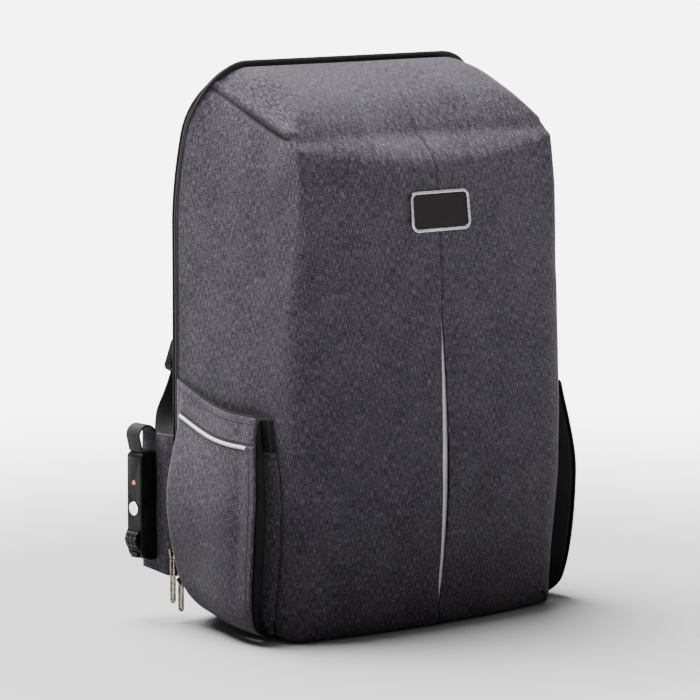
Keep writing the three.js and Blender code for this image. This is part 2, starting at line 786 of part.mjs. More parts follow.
// A wall of the left pocket between two lines of height, from one distance out to another.
function pocketWall(lowAt, highAt, upShares, alongShares, out0, out1) {
  const face = (out) =>
    upShares.map((up) =>
      alongShares.map((along) => pocketPoint(along, mix(lowAt(along), highAt(along), up), out)),
    );
  return slab(face(out0), face(out1));
}

const seamLine = (along) => pocketTop(along) - POCKET_BAND_HEIGHT;

const pocketPanel = () => pocketWall(pocketBottom, seamLine, POCKET_UP, POCKET_ALONG, 0, POCKET_WALL);

const pocketBand = () =>
  pocketWall((a) => seamLine(a) + GAP, pocketTop, [0, 0.3, 0.65, 1], POCKET_ALONG, 0, POCKET_WALL);

const pocketStrip = () =>
  pocketWall(
    (a) => seamLine(a) - STRIP_HEIGHT - 1,
    (a) => seamLine(a) - 1,
    [0, 1],
    [0.1, 0.22, 0.38, 0.54, 0.7, 0.84, 0.93],
    POCKET_WALL + 2 * GAP,
    POCKET_WALL + 2 * GAP + STRIP_THICKNESS,
  );

// The gusset's folded line seen from above at a height: the seam on the bag, the fold, the pocket's edge.
function gussetLine(z) {
  const bulge = standOff(1, z);
  const seamY = sideStartY(z) - SEAM_AHEAD + drawnBack(z);
  const foldY = seamY + Math.min(GUSSET_FOLD, 3 + bulge);
  const clear = GAP + GUSSET_THICKNESS + mix(1.6, 0.3, smooth(z / (6 * POCKET_BOTTOM)));
  const edge = pocketPoint(1, z, -GUSSET_THICKNESS - 2 * GAP);
  return {
    seam: new THREE.Vector3(-(sideX(seamY, z) + clear), seamY, z),
    fold: new THREE.Vector3(-(sideX(foldY, z) + clear + 0.1 * bulge), foldY, z),
    edge: edge.add(new THREE.Vector3(0, 1, 0)),
  };
}

// One half of the gusset between two heights, as an upright wall behind the line between two of its
// points; inwards says whether that is the bag's side.
function gussetHalf(from, to, low, high, inwards) {
  const steps = 8;
  const faces = [[], []];
  for (let i = 0; i <= steps; i++) {
    const z = mix(low, high, i / steps);
    const line = gussetLine(z);
    const along = line[to].clone().sub(line[from]).normalize();
    const behind = new THREE.Vector3(Math.abs(along.y), -Math.sign(along.y) * along.x, 0);
    behind.multiplyScalar(inwards ? GUSSET_THICKNESS : -GUSSET_THICKNESS);
    const a = line[from].clone();
    const b = line[to].clone().addScaledVector(along, -1.5 * GAP);
    faces[0].push([a, b]);
    faces[1].push([a.clone().add(behind), b.clone().add(behind)]);
  }
  return slab(faces[0], faces[1]);
}

const ELASTIC_TOP = POCKET_TOP_FRONT - 2;
const ELASTIC_BOTTOM = ELASTIC_TOP - ELASTIC_HEIGHT;
const GUSSET_BOTTOM = POCKET_BOTTOM + 8;

const gussetFront = (low, high) => gussetHalf("seam", "fold", low, high, true);
const gussetFold = (low, high) => gussetHalf("edge", "fold", low, high, false);

// Plaque

// Lays a flat piece, made face up round its own middle, on the bag's front.
function onFront(geometry, z, proud) {
  const step = 20;
  const slope = Math.atan2(frontY(0, z + step) - frontY(0, z - step), 2 * step);
  return geometry
    .rotateX(Math.PI / 2 - slope)
    .translate(0, frontY(0, z) - proud, z);
}

function plaqueFrame() {
  const shape = roundedRectangle(PLAQUE_WIDTH, PLAQUE_HEIGHT, PLAQUE_CORNER);
  const hole = roundedRectangle(
    PLAQUE_WIDTH - 2 * PLAQUE_RIM,
    PLAQUE_HEIGHT - 2 * PLAQUE_RIM,
    PLAQUE_CORNER - PLAQUE_RIM,
  );
  shape.holes.push(hole);
  return onFront(extrude(shape, PLAQUE_THICKNESS), PLAQUE_Z, GAP + 0.2);
}

function plaqueInsert() {
  const shape = roundedRectangle(
    PLAQUE_WIDTH - 2 * PLAQUE_RIM - 2 * GAP,
    PLAQUE_HEIGHT - 2 * PLAQUE_RIM - 2 * GAP,
    PLAQUE_CORNER - PLAQUE_RIM - GAP,
  );
  return onFront(extrude(shape, PLAQUE_THICKNESS - 0.7), PLAQUE_Z, GAP + 0.2);
}

// Combination lock: its face looks to the left, and its rear edge lines up with the wing's

const LOCK_BACK_X = -(WING_OUTER_X + GAP);
const LOCK_FACE_X = LOCK_BACK_X - LOCK_THICKNESS;
const LOCK_Y = WING_END_Y - LOCK_WIDTH / 2;
const LOCK_TOP = LOCK_BOTTOM + LOCK_HEIGHT;
const DIAL_Z = LOCK_BOTTOM + DIAL_HEIGHT;
const DIAL_X = LOCK_FACE_X - DIAL_PROUD + DIAL_RADIUS;
const dialY = (i) => LOCK_Y + (i - (DIAL_COUNT - 1) / 2) * DIAL_PITCH;

function lockBody() {
  // the side view, drawn with x outwards from the wing and y upwards
  const side = new THREE.Shape();
  side.moveTo(0, LOCK_BOTTOM + 3);
  side.lineTo(3, LOCK_BOTTOM);
  side.lineTo(LOCK_THICKNESS - LOCK_FOOT, LOCK_BOTTOM);
  side.quadraticCurveTo(LOCK_THICKNESS - 1, LOCK_BOTTOM + 1, LOCK_THICKNESS, LOCK_BOTTOM + 8);
  side.lineTo(LOCK_THICKNESS, LOCK_TOP - LOCK_CORNER);
  side.absarc(LOCK_THICKNESS - LOCK_CORNER, LOCK_TOP - LOCK_CORNER, LOCK_CORNER, 0, Math.PI / 2, false);
  side.lineTo(2, LOCK_TOP);
  side.lineTo(0, LOCK_TOP - 2);
  const edge = 1.2; // the rounding along both sides of the face
  const block = new THREE.ExtrudeGeometry(side, {
    depth: LOCK_WIDTH - 2 * edge,
    bevelEnabled: true,
    bevelThickness: edge,
    bevelSize: edge,
    bevelOffset: -edge,
    bevelSegments: 2,
    curveSegments: 4,
  });
  block.rotateX(Math.PI / 2).scale(-1, 1, 1);
  // the block now runs along -Y from its middle plane and faces -X
  const placed = mergeVertices(bare(block), 1e-4);
  placed.translate(LOCK_BACK_X, LOCK_Y + LOCK_WIDTH / 2 - edge, 0);
  let made = solid(outward(placed));
  const humpRadius = DIAL_HUMP + LOCK_FOOT;
  const hump = bar(humpRadius, LOCK_WIDTH - 4, "y", 24);
  hump.translate(LOCK_FACE_X - DIAL_HUMP + humpRadius, LOCK_Y, DIAL_Z);
  const keep = box(
    LOCK_FACE_X - LOCK_WIDTH,
    LOCK_BACK_X - 2,
    LOCK_Y - LOCK_WIDTH,
    LOCK_Y + LOCK_WIDTH,
    LOCK_BOTTOM,
    LOCK_TOP,
  );
  made = made.add(solid(hump).intersect(solid(keep)));
  const wide = DIAL_PITCH * (DIAL_COUNT - 1) + DIAL_WIDTH + 2 * RUNNING;
  const well = bar(DIAL_RADIUS + RUNNING, wide, "y", 32).translate(DIAL_X, LOCK_Y, DIAL_Z);
  made = made.subtract(solid(well));
  made = made.add(solid(bar(AXLE_RADIUS, wide + 2, "y", 16).translate(DIAL_X, LOCK_Y, DIAL_Z)));
  const keyHole = bar(KEY_RADIUS + RUNNING, 2 * 2.2, "x", 28);
  made = made.subtract(solid(keyHole.translate(LOCK_FACE_X, LOCK_Y, LOCK_BOTTOM + KEY_HEIGHT)));
  const dotHole = bar(DOT_RADIUS + GAP, 2, "x", 20);
  made = made.subtract(solid(dotHole.translate(LOCK_FACE_X, LOCK_Y, LOCK_BOTTOM + DOT_HEIGHT)));
  return geometryOf(made.subtract(solid(releaseWell())));
}

// The release slider's well in the lock's lower end, and the slider in it at its upper stop.
const RELEASE_TOP = LOCK_BOTTOM - RELEASE_DEPTH;

function releaseWell() {
  const z = LOCK_BOTTOM + RELEASE_HEIGHT;
  const y = RELEASE_WIDTH / 2 + RUNNING;
  const low = z - RELEASE_LENGTH / 2 - RELEASE_TRAVEL - RUNNING;
  const high = z + RELEASE_LENGTH / 2 + RUNNING;
  return box(LOCK_FACE_X - 3, LOCK_FACE_X + RELEASE_DEPTH + 1, LOCK_Y - y, LOCK_Y + y, low, high);
}

function lockRelease() {
  const z = LOCK_BOTTOM + RELEASE_HEIGHT;
  const y = RELEASE_WIDTH / 2;
  const back = LOCK_FACE_X + RELEASE_DEPTH + 1 - GAP;
  return box(LOCK_FACE_X - 0.6, back, LOCK_Y - y, LOCK_Y + y, z - RELEASE_LENGTH / 2, z + RELEASE_LENGTH / 2);
}

// A dial with ten finger notches and a bore for the axle.
function lockDial(i) {
  const notches = 10;
  let made = solid(bar(DIAL_RADIUS, DIAL_WIDTH, "y", 2 * notches));
  made = made.subtract(solid(bar(AXLE_RADIUS + RUNNING, DIAL_WIDTH + 2, "y", 20)));
  for (let k = 0; k < notches; k++) {
    const a = (2 * Math.PI * (k + 0.5)) / notches;
    const notch = bar(0.9, DIAL_WIDTH + 2, "y", 6);
    notch.translate(DIAL_RADIUS * Math.cos(a), 0, DIAL_RADIUS * Math.sin(a));
    made = made.subtract(solid(notch));
  }
  return geometryOf(made).translate(DIAL_X, dialY(i), DIAL_Z);
}

function lockCylinder() {
  const made = solid(bar(KEY_RADIUS, 2.6, "x", 28));
  const slot = box(-2, -0.4, -KEY_SLOT / 2, KEY_SLOT / 2, -3.4, 3.4);
  const x = LOCK_FACE_X + 2.2 - GAP - 1.3;
  return geometryOf(made.subtract(solid(slot))).translate(x, LOCK_Y, LOCK_BOTTOM + KEY_HEIGHT);
}

function lockDot() {
  const made = bar(DOT_RADIUS, 1, "x", 20);
  return made.translate(LOCK_FACE_X + 1 - GAP - 0.5, LOCK_Y, LOCK_BOTTOM + DOT_HEIGHT);
}

// Webbing loop from the top of the lock up and back down to the wing's outer face.
function lockLoop() {
  const out = LOCK_FACE_X + LOOP_THICKNESS / 2 + 1.5;
  const inn = LOCK_BACK_X - LOOP_THICKNESS / 2;
  const middle = (out - LOOP_BULGE + inn) / 2;
  const reach = (inn - out + LOOP_BULGE) / 2;
  const steps = 10;
  const stations = [];
  const put = (x, z, outX, outZ) => {
    stations.push({
      at: new THREE.Vector3(x, LOCK_Y, z),
      across: new THREE.Vector3(0, 1, 0),
      facing: new THREE.Vector3(outX, 0, outZ),
      width: LOOP_WIDTH,
      thickness: LOOP_THICKNESS,
    });
  };
  put(out, LOCK_TOP + GAP, -1, 0);
  for (let i = 0; i <= steps; i++) {
    const a = Math.PI * (1 - i / steps);
    put(middle + reach * Math.cos(a), WING_TOP - 2 + reach * Math.sin(a), Math.cos(a), Math.sin(a));
  }
  put(inn, WING_TOP - LOOP_SEAM, 1, 0);
  return band(stations);
}

// Zip sliders on the band's outer edge at the lower left corner, each with a bail

const SLIDER_Y = RIM_Y + GAP + BAND_DEPTH / 2 - 1;
// The left back edge's place at a height, where the slider's front lies on it.
const edgeX = (z) => -sideX(SLIDER_Y - SLIDER_WIDTH / 2, z);

const SLIDER_EYE = { x: -SLIDER_DEPTH - 1.7, z: 4.6 };

// A slider's place on the edge, turned to lie along it.
function sliderPlace(pull) {
  const low = edgeX(pull.height);
  const high = edgeX(pull.height + SLIDER_LENGTH);
  const turn = Math.atan2(high - low, SLIDER_LENGTH);
  const bulge = [0.25, 0.5, 0.75].map((t) => mix(low, high, t) - edgeX(pull.height + SLIDER_LENGTH * t));
  const off = 1.5 * GAP + Math.max(...bulge);
  const place = new THREE.Matrix4().makeRotationY(turn);
  return place.setPosition(low - off * Math.cos(turn), SLIDER_Y, pull.height + off * Math.sin(turn));
}

function zipSlider(pull) {
  const half = SLIDER_WIDTH / 2;
  const plate = box(-SLIDER_DEPTH, 0, -half, half, 0, SLIDER_LENGTH);
  const { x, z } = SLIDER_EYE;
  const bail = solid(box(x - 2.9, -SLIDER_DEPTH + 1, -1.2, 1.2, z - 3.4, z + 3.4));
  const eye = solid(box(x - 1.5, x + 1.5, -4, 4, z - 1.8, z + 1.8));
  return geometryOf(solid(plate).add(bail).subtract(eye)).applyMatrix4(sliderPlace(pull));
}

// The pull's top bar runs through the bail's eye.
function zipPull(pull) {
  const eye = new THREE.Vector3(SLIDER_EYE.x, 0, SLIDER_EYE.z).applyMatrix4(sliderPlace(pull));
  const ring = roundedRectangle(PULL_WIDTH, pull.length, 2.4);
  ring.holes.push(roundedRectangle(PULL_WIDTH - 2 * PULL_WIRE, pull.length - 2 * PULL_WIRE, 0.3));
  const made = extrude(ring, PULL_WIRE, 3).rotateX(Math.PI / 2).rotateZ(Math.PI / 2);
  return made.translate(eye.x - PULL_WIRE / 2, eye.y, eye.z + (PULL_WIRE - pull.length) / 2);
}

// Materials

const material = (color, roughness, metalness) =>
  new THREE.MeshStandardMaterial({ color, roughness, metalness });

const HEATHER = material(0x55525a, 0.95, 0);
const BLACK_CLOTH = material(0x18171a, 0.9, 0);
const MESH_CLOTH = material(0x1d1c1f, 0.95, 0);
const WEBBING = material(0x141416, 0.85, 0);
const REFLECTIVE = material(0xa9aaac, 0.45, 0.1);
const REFLECTIVE_TRIM = material(0xd4d5d2, 0.45, 0.1);
const CHROME = material(0xd9d9da, 0.18, 1);
const NICKEL = material(0xb9b3a6, 0.3, 1);
const GLOSS_BLACK = material(0x1b1819, 0.35, 0);
const LOCK_PLASTIC = material(0x1e1b1b, 0.4, 0);
const DIAL_PLASTIC = material(0x232022, 0.5, 0);
const DOT_ORANGE = material(0xe08a55, 0.4, 0);

// Assembly

const backpack = new THREE.Group();

function add(name, geometry, finish) {
  const mesh = new THREE.Mesh(geometry, finish);
  mesh.name = name;
  backpack.add(mesh);
}

// A piece on the left side and its mirror image on the right.
function addPair(name, geometry, finish) {
  const indexed = geometry.index ? geometry : mergeVertices(bare(geometry), 1e-4);
  const made = outward(mergeVertices(bare(indexed.toNonIndexed()), 1e-4));
  add(name + "_left", made, finish);
  add(name + "_right", mirrored(made), finish);
}

add("shell", shell(), HEATHER);
add("front_reflective_strip", frontStrip(), REFLECTIVE);
add("zip_band", zipBand(), BLACK_CLOTH);
add("back_panel", backPanel(), MESH_CLOTH);
addPair("shoulder_strap", shoulderStrap(), MESH_CLOTH);
addPair("ladder_buckle", ladderBuckle(), LOCK_PLASTIC);
addPair("strap_webbing", strapWebbing(), WEBBING);
add("haul_handle", haulHandle(), WEBBING);
addPair("wing", wing(), HEATHER);
addPair("pocket_panel", pocketPanel(), HEATHER);
addPair("pocket_band", pocketBand(), HEATHER);
addPair("pocket_reflective_strip", pocketStrip(), REFLECTIVE_TRIM);
addPair("gusset_front", gussetFront(GUSSET_BOTTOM, ELASTIC_BOTTOM - GAP), HEATHER);
addPair("gusset_fold", gussetFold(GUSSET_BOTTOM, ELASTIC_BOTTOM - GAP), BLACK_CLOTH);
addPair("pocket_elastic_front", gussetFront(ELASTIC_BOTTOM, ELASTIC_TOP), WEBBING);
addPair("pocket_elastic_fold", gussetFold(ELASTIC_BOTTOM, ELASTIC_TOP), WEBBING);
add("plaque_frame", plaqueFrame(), CHROME);
add("plaque_insert", plaqueInsert(), GLOSS_BLACK);
add("lock_body", lockBody(), LOCK_PLASTIC);
for (let i = 0; i < DIAL_COUNT; i++) add("lock_dial_" + (i + 1), lockDial(i), DIAL_PLASTIC);
add("lock_cylinder", lockCylinder(), CHROME);
add("lock_release", lockRelease(), DIAL_PLASTIC);
add("lock_dot", lockDot(), DOT_ORANGE);
add("lock_loop", lockLoop(), WEBBING);
for (const pull of PULLS) {
  add("zip_slider_" + pull.name, zipSlider(pull), NICKEL);
  add("zip_pull_" + pull.name, zipPull(pull), NICKEL);
}

export default backpack;
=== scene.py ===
"""Looks of an anti-theft backpack, zipped shut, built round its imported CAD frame.

Shapes are worked out in millimetres, as the frame's were, and scaled to metres as each piece is
finished. The origin is the middle of the flat base, +Z is up and +Y points to the wearer's back.
"""

import math

import bmesh
import bpy
from mathutils import Matrix, Vector, noise


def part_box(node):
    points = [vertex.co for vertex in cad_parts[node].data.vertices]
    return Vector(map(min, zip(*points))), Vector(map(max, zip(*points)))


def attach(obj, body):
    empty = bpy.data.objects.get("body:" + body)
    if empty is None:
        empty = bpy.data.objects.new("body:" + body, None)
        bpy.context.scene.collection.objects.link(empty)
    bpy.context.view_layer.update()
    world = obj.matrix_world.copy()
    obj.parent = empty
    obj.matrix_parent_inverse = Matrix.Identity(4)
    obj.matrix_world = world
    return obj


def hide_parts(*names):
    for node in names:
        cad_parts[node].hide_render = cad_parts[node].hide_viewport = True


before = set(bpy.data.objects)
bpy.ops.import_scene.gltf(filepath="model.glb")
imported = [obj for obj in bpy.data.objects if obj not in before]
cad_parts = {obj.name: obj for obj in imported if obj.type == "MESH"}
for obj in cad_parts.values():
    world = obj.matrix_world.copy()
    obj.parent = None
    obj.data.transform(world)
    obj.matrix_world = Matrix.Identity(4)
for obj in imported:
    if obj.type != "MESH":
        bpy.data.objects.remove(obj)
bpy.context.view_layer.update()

MM = 0.001
BAG = "bag"

# Camera
CAMERA_AZIMUTH = -40
CAMERA_ELEVATION = 7.5
CAMERA_DISTANCE = 3.288
CAMERA_AIM = Vector((0, 0.039, 0.211))
CAMERA_LENS = 208


def table(names, *rows):
    """A short table as named columns."""
    return dict(zip(names.split(), zip(*rows)))


# Bag shell, in millimetres
SHELL_TOP = 445
CROWN_HEIGHT = 392
BACK_HALF_WIDTH = 149.5
FRONT_HALF_WIDTH = 142
SIDE_BULGE = 2.5
CROWN_NARROWING = 8
NARROWING_START = 220
FRONT_Y = -80
RIM_Y = 74
RIM_LEAN = 30
RIM_LEAN_START = 322
CLOTH_WALL = 2.4
FRONT_LEAN = 20
BASE_BOW = 15
CROWN_BOW = 3
EDGE_INSET = 30
EDGE_DEPTH = 24
CROWN_CORNER_ROUND = 5
CROWN_EDGE_ROUND = 9
CROWN_MIDDLE_ROUND = 28
BASE_FRONT_ROUND = 10
CROWN_SLOPE = 0.62
BASE_CORNER_BACK = 58
BASE_CORNER_FRONT = 15
BASE_RISE = 8
BASE_RISE_LENGTH = 30
SHOULDER_WIDTH = 51
SHOULDER_HEIGHT = 94

FRONT_PROFILE = table(
    "at setback",
    (0.0, 0.45),
    (0.05, 0.36),
    (0.11, 0.22),
    (0.19, 0.08),
    (0.3, 0.0),
    (0.46, 0.05),
    (0.64, 0.25),
    (0.85, 0.52),
    (0.95, 0.8),
    (1.0, 1.0),
)
ROOF = table(
    "at drop width height",
    (0.0, 0.0, 0.92, 0.56),
    (0.1, 0.0, 0.98, 0.8),
    (0.35, 0.08, 0.94, 1.0),
    (0.6, 0.28, 0.8, 0.93),
    (0.78, 0.5, 0.58, 0.72),
    (0.92, 0.78, 0.28, 0.34),
    (1.0, 1.0, 0.14, 0.1),
)

# Slit in the front seam
SLIT_LOW = 13
SLIT_HIGH = 257
SLIT_HALF_WIDTH = 3.6
SLIT_DEPTH = 2.6

# Zip band and back panel
GAP = 0.3
BAND_DEPTH = 3.2
BAND_RISE = 4.6
PANEL_DEPTH = 11
PANEL_FRONT = RIM_Y + GAP + BAND_DEPTH + GAP
PANEL_BACK = PANEL_FRONT + PANEL_DEPTH

# Straps
STRAP_TOP_WIDTH = 56
STRAP_END_WIDTH = 37
STRAP_THICKNESS = 11
STRAP_TOP_X = 44
STRAP_END_X = 109
STRAP_TOP_Z = 402
STRAP_END_Z = 218
STRAP_STANDOFF = 24
STRAP_LEAN = 16
BUCKLE_HEIGHT = 27
WEBBING_WIDTH = 22
WEBBING_THICKNESS = 2
WEBBING_IN = 7
WEBBING_SEAM = 60
HANDLE_WIDTH = 20
HANDLE_THICKNESS = 3
HANDLE_SPAN = 112
HANDLE_Z = 424
HANDLE_BOW = 24

# Wings
WING_TOP = 151
WING_BOTTOM = 36
WING_SLOPE = 4
WING_REACH = 39
WING_THICKNESS = 2.6
WING_OUTER_X = BACK_HALF_WIDTH + 2
WING_INNER_X = WING_OUTER_X - WING_THICKNESS
WING_ROOT_Y = PANEL_FRONT + GAP
WING_END_Y = WING_ROOT_Y + WING_REACH

# Side pockets
POCKET_TOP_REAR = 197
POCKET_TOP_FRONT = 179
POCKET_TOP_DIP = 6
POCKET_BAND_HEIGHT = 21
POCKET_BOTTOM = 5
POCKET_WALL = 2.2
POCKET_CLOTH = 1.5
PIPING_THICKNESS = 0.4
POCKET_BULGE = 27
POCKET_REAR_BULGE = 21
POCKET_REAR_Y = RIM_Y - 3
STRIP_HEIGHT = 2.9
GUSSET_THICKNESS = 1.6
GUSSET_FOLD = 13
ELASTIC_PULL = 9
ELASTIC_PULL_START = 0.6
SEAM_AHEAD = 1
ELASTIC_HEIGHT = 26
ELASTIC_TOP = POCKET_TOP_FRONT - 2
ELASTIC_BOTTOM = ELASTIC_TOP - ELASTIC_HEIGHT
GUSSET_BOTTOM = POCKET_BOTTOM + 1

POCKET_SWELL = table(
    "at front rear",
    (0.0, 0.05, 0.06),
    (0.05, 0.6, 0.16),
    (0.12, 0.84, 0.3),
    (0.25, 0.96, 0.6),
    (0.42, 1.0, 0.92),
    (0.62, 0.98, 1.0),
    (0.85, 0.8, 0.4),
    (1.0, 0.6, 0.08),
)

# Lock loop
LOCK_TOP = 136
LOCK_WIDTH = 19
LOCK_THICKNESS = 17
LOOP_WIDTH = 17
LOOP_THICKNESS = 2
LOOP_BULGE = 3
LOOP_SEAM = 6

# How finely cloth is divided
MIDDLE_STEPS = 40
SIDE_STEPS = 96
CORNER_STEPS = 14
DEPTH_STEPS = 50
ROUND_STEPS = 8


def mix(a, b, t):
    return a + (b - a) * t


def spread(low, high, count):
    """Evenly spaced values from low to high, both ends among them."""
    return [mix(low, high, k / (count - 1)) for k in range(count)]


def clamp(t):
    return min(1.0, max(0.0, t))


def smooth(t):
    return clamp(t) ** 2 * (3 - 2 * clamp(t))


def bump(distance, width):
    """1 at no distance, easing to 0 beyond the width."""
    return math.exp(-((distance / width) ** 2))


def read(rows, at, column):
    """A value read off a table, eased between its rows."""
    places, values = rows["at"], rows[column]
    last = len(places) - 1
    if at <= places[0]:
        return values[0]
    if at >= places[last]:
        return values[last]
    i = next(k for k in range(last + 1) if places[k] > at) - 1
    span = places[i + 1] - places[i]
    t = (at - places[i]) / span

    def slope(k):
        a, b = max(0, k - 1), min(last, k + 1)
        return (values[b] - values[a]) / (places[b] - places[a])

    return (
        values[i] * (2 * t**3 - 3 * t**2 + 1)
        + slope(i) * span * (t**3 - 2 * t**2 + t)
        + values[i + 1] * (3 * t**2 - 2 * t**3)
        + slope(i + 1) * span * (t**3 - t**2)
    )


# Materials


class Wire:
    """A shader socket whose number Python's operators work on, each as a Math node."""

    def __init__(self, finish, socket):
        self.finish = finish
        self.socket = socket

    def maths(self, operation, *values):
        settings = {"operation": operation}
        return self.finish.node("ShaderNodeMath", settings, dict(enumerate(values)))

    def __add__(self, other):
        return self.maths("ADD", self, other)

    def __radd__(self, other):
        return self.maths("ADD", other, self)

    def __sub__(self, other):
        return self.maths("SUBTRACT", self, other)

    def __rsub__(self, other):
        return self.maths("SUBTRACT", other, self)

    def __mul__(self, other):
        return self.maths("MULTIPLY", self, other)

    def __rmul__(self, other):
        return self.maths("MULTIPLY", other, self)

    def __truediv__(self, other):
        return self.maths("DIVIDE", self, other)

    def sine(self):
        return self.maths("SINE", self)

    def absolute(self):
        return self.maths("ABSOLUTE", self)

    def rising(self, low, high):
        """0 below low, 1 above high and smooth between."""
        settings = {"interpolation_type": "SMOOTHSTEP"}
        inputs = {"Value": self, "From Min": low, "From Max": high}
        return self.finish.node("ShaderNodeMapRange", settings, inputs)


class Finish:
    """A material that is made of its shader's plain values and a few nodes."""

    def __init__(self, name, slot, **sockets):
        self.data = bpy.data.materials.new(name)
        self.data.use_nodes = True
        self.slot = slot
        self.tree = self.data.node_tree
        self.shader = self.tree.nodes["Principled BSDF"]
        for socket, value in sockets.items():
            self.shader.inputs[self.socket_name(socket)].default_value = value

    @staticmethod
    def socket_name(plain):
        return plain.replace("_", " ").title().replace("Ior", "IOR")

    def node(self, kind, settings, inputs, output=0):
        made = self.tree.nodes.new(kind)
        for key, value in settings.items():
            setattr(made, key, value)
        for key, value in inputs.items():
            if isinstance(value, Wire):
                self.tree.links.new(value.socket, made.inputs[key])
            else:
                made.inputs[key].default_value = value
        return Wire(self, made.outputs[output])

    def set(self, socket, wire):
        self.tree.links.new(wire.socket, self.shader.inputs[socket])

    def dull(self):
        """Little mirror-like shine, as on matt cloth."""
        self.shader.inputs["Specular IOR Level"].default_value = 0.15

    def cloth(self):
        """Millimetres across and along the cloth, from the piece's own UV map."""
        uv = self.node("ShaderNodeUVMap", {"uv_map": "cloth"}, {})
        parts = self.tree.nodes.new("ShaderNodeSeparateXYZ")
        self.tree.links.new(uv.socket, parts.inputs[0])
        return Wire(self, parts.outputs[0]), Wire(self, parts.outputs[1])

    def place(self):
        """The piece's own coordinates, in millimetres."""
        place = self.node("ShaderNodeTexCoord", {}, {}, "Object")
        return self.node("ShaderNodeMapping", {}, {"Vector": place, "Scale": (1 / MM,) * 3})

    def grain(self, x, y, z=0.0, detail=2.0, roughness=0.5):
        """Noise about a half, for a place given by its parts."""
        place = self.node("ShaderNodeCombineXYZ", {}, {0: x, 1: y, 2: z})
        return self.noise(place, 1.0, detail, roughness)

    def noise(self, place, scale, detail=2.0, roughness=0.5):
        inputs = {"Vector": place, "Scale": scale, "Detail": detail, "Roughness": roughness}
        return self.node("ShaderNodeTexNoise", {"noise_dimensions": "3D"}, inputs)

    def attribute(self, name):
        return self.node("ShaderNodeAttribute", {"attribute_name": name}, {}, "Fac")

    def blend(self, share, a, b):
        """A colour between two."""
        return self.node("ShaderNodeMix", {"data_type": "RGBA"}, {0: share, 6: a, 7: b}, 2)

    def relief(self, height, depth, strength=1.0):
        """Bump of a depth in millimetres."""
        inputs = {"Height": height, "Distance": depth * MM, "Strength": strength}
        self.set("Normal", self.node("ShaderNodeBump", {}, inputs))


def warm_grey(value):
    return (value * 1.05, value * 0.985, value, 1)


HEATHER_DARK = (0.009, 0.0068, 0.011, 1)
HEATHER_MIDDLE = (0.041, 0.0328, 0.0438, 1)
HEATHER_LIGHT = (0.128, 0.1025, 0.131, 1)
YARN_WIDTH = 0.66
WARP_SLUB = 5.6
WEFT_SLUB = 4.6
# Painted shade laid on the heather in the seams' grooves and along the roof crease, through the seam
# attribute
SEAM_PAINTED_SHADE = (0.012, 0.011, 0.014, 1)
# Painted shade inside the air mesh's holes
MESH_HOLE_PAINTED_SHADE = (0.004, 0.004, 0.005, 1)
MESH_DARK = (0.0055, 0.0052, 0.0058, 1)
MESH_LIGHT = (0.016, 0.0155, 0.017, 1)
MESH_PITCH = 3.4
WEAVE_PITCH = 1.05
# The webbing's dark end is both its darker random tone and painted shade in the weave's hollows
WEBBING_DARK_AND_PAINTED_SHADE = (0.002, 0.002, 0.0024, 1)
WEBBING_LIGHT = (0.011, 0.0105, 0.012, 1)


def heather_cloth():
    """Two-tone woven polyester: light and dark slubs along the warp, fewer along the weft, with painted
    shade in the seams' grooves.
    """
    made = Finish("heather_cloth", "heather", sheen_weight=0.05, sheen_roughness=0.5)
    made.dull()
    across, along = made.cloth()
    warp = made.grain(across / YARN_WIDTH, along / WARP_SLUB, 1.0, 3.0, 0.6)
    weft = made.grain(across / WEFT_SLUB, along / YARN_WIDTH, 5.0, 3.0, 0.6)
    drift = made.grain(across / 26, along / 34, 9.0, 2.0)
    thread = warp * 0.6 + weft * 0.4 + (drift - 0.5) * 0.1
    light = thread.rising(0.42, 0.6)
    bright = warp.rising(0.58, 0.7) * 0.6 + weft.rising(0.6, 0.72) * 0.4
    yarn = made.blend(light, HEATHER_DARK, HEATHER_MIDDLE)
    slub = made.blend(bright, yarn, HEATHER_LIGHT)
    # Painted shade: the seam attribute darkens the cloth in the seams' grooves and the roof crease
    seam = made.attribute("seam")
    made.set("Base Color", made.blend(seam, slub, SEAM_PAINTED_SHADE))
    pitch = 2 * math.pi / WEAVE_PITCH
    weave = (across * pitch).sine() * (along * pitch).sine()
    made.relief(weave * 0.25 + thread * 1.6, 0.35, 0.8)
    made.set("Roughness", 0.95 - light * 0.12)
    return made


def plain_cloth(name, slot, colour, dark, rib):
    """A dense dark cloth with a fine rib."""
    made = Finish(name, slot, roughness=0.85, sheen_weight=0.02, sheen_roughness=0.4)
    made.dull()
    across, along = made.cloth()
    fuzz = made.grain(across / 0.9, along / 1.3, 2.0, 3.0)
    cloudy = made.grain(across / 22, along / 22, 4.0)
    share = fuzz * 0.7 + cloudy * 0.3
    made.set("Base Color", made.blend(share.rising(0.3, 0.7), dark, colour))
    ribs = (along * (2 * math.pi / rib)).sine() + (across * (2 * math.pi / rib)).sine()
    made.relief(ribs * 0.3 + fuzz, 0.25, 0.7)
    return made


def spacer_mesh():
    """Air mesh: rows of small holes between knitted ribs, with painted shade in the holes."""
    made = Finish("spacer_mesh", "mesh", roughness=0.92, sheen_weight=0.04, sheen_roughness=0.5)
    made.dull()
    across, along = made.cloth()
    pitch = 2 * math.pi / MESH_PITCH
    ribs = ((across * pitch).sine() * (along * pitch).sine()).absolute()
    hole = ribs.rising(0.62, 0.86)
    fuzz = made.grain(across / 0.5, along / 0.5, 3.0, 3.0)
    knit = made.blend(fuzz.rising(0.3, 0.7), MESH_DARK, MESH_LIGHT)
    # Painted shade: the holes take a darker colour than the knit
    made.set("Base Color", made.blend(hole, knit, MESH_HOLE_PAINTED_SHADE))
    made.relief((1 - hole) + fuzz * 0.25, 0.7, 0.9)
    return made


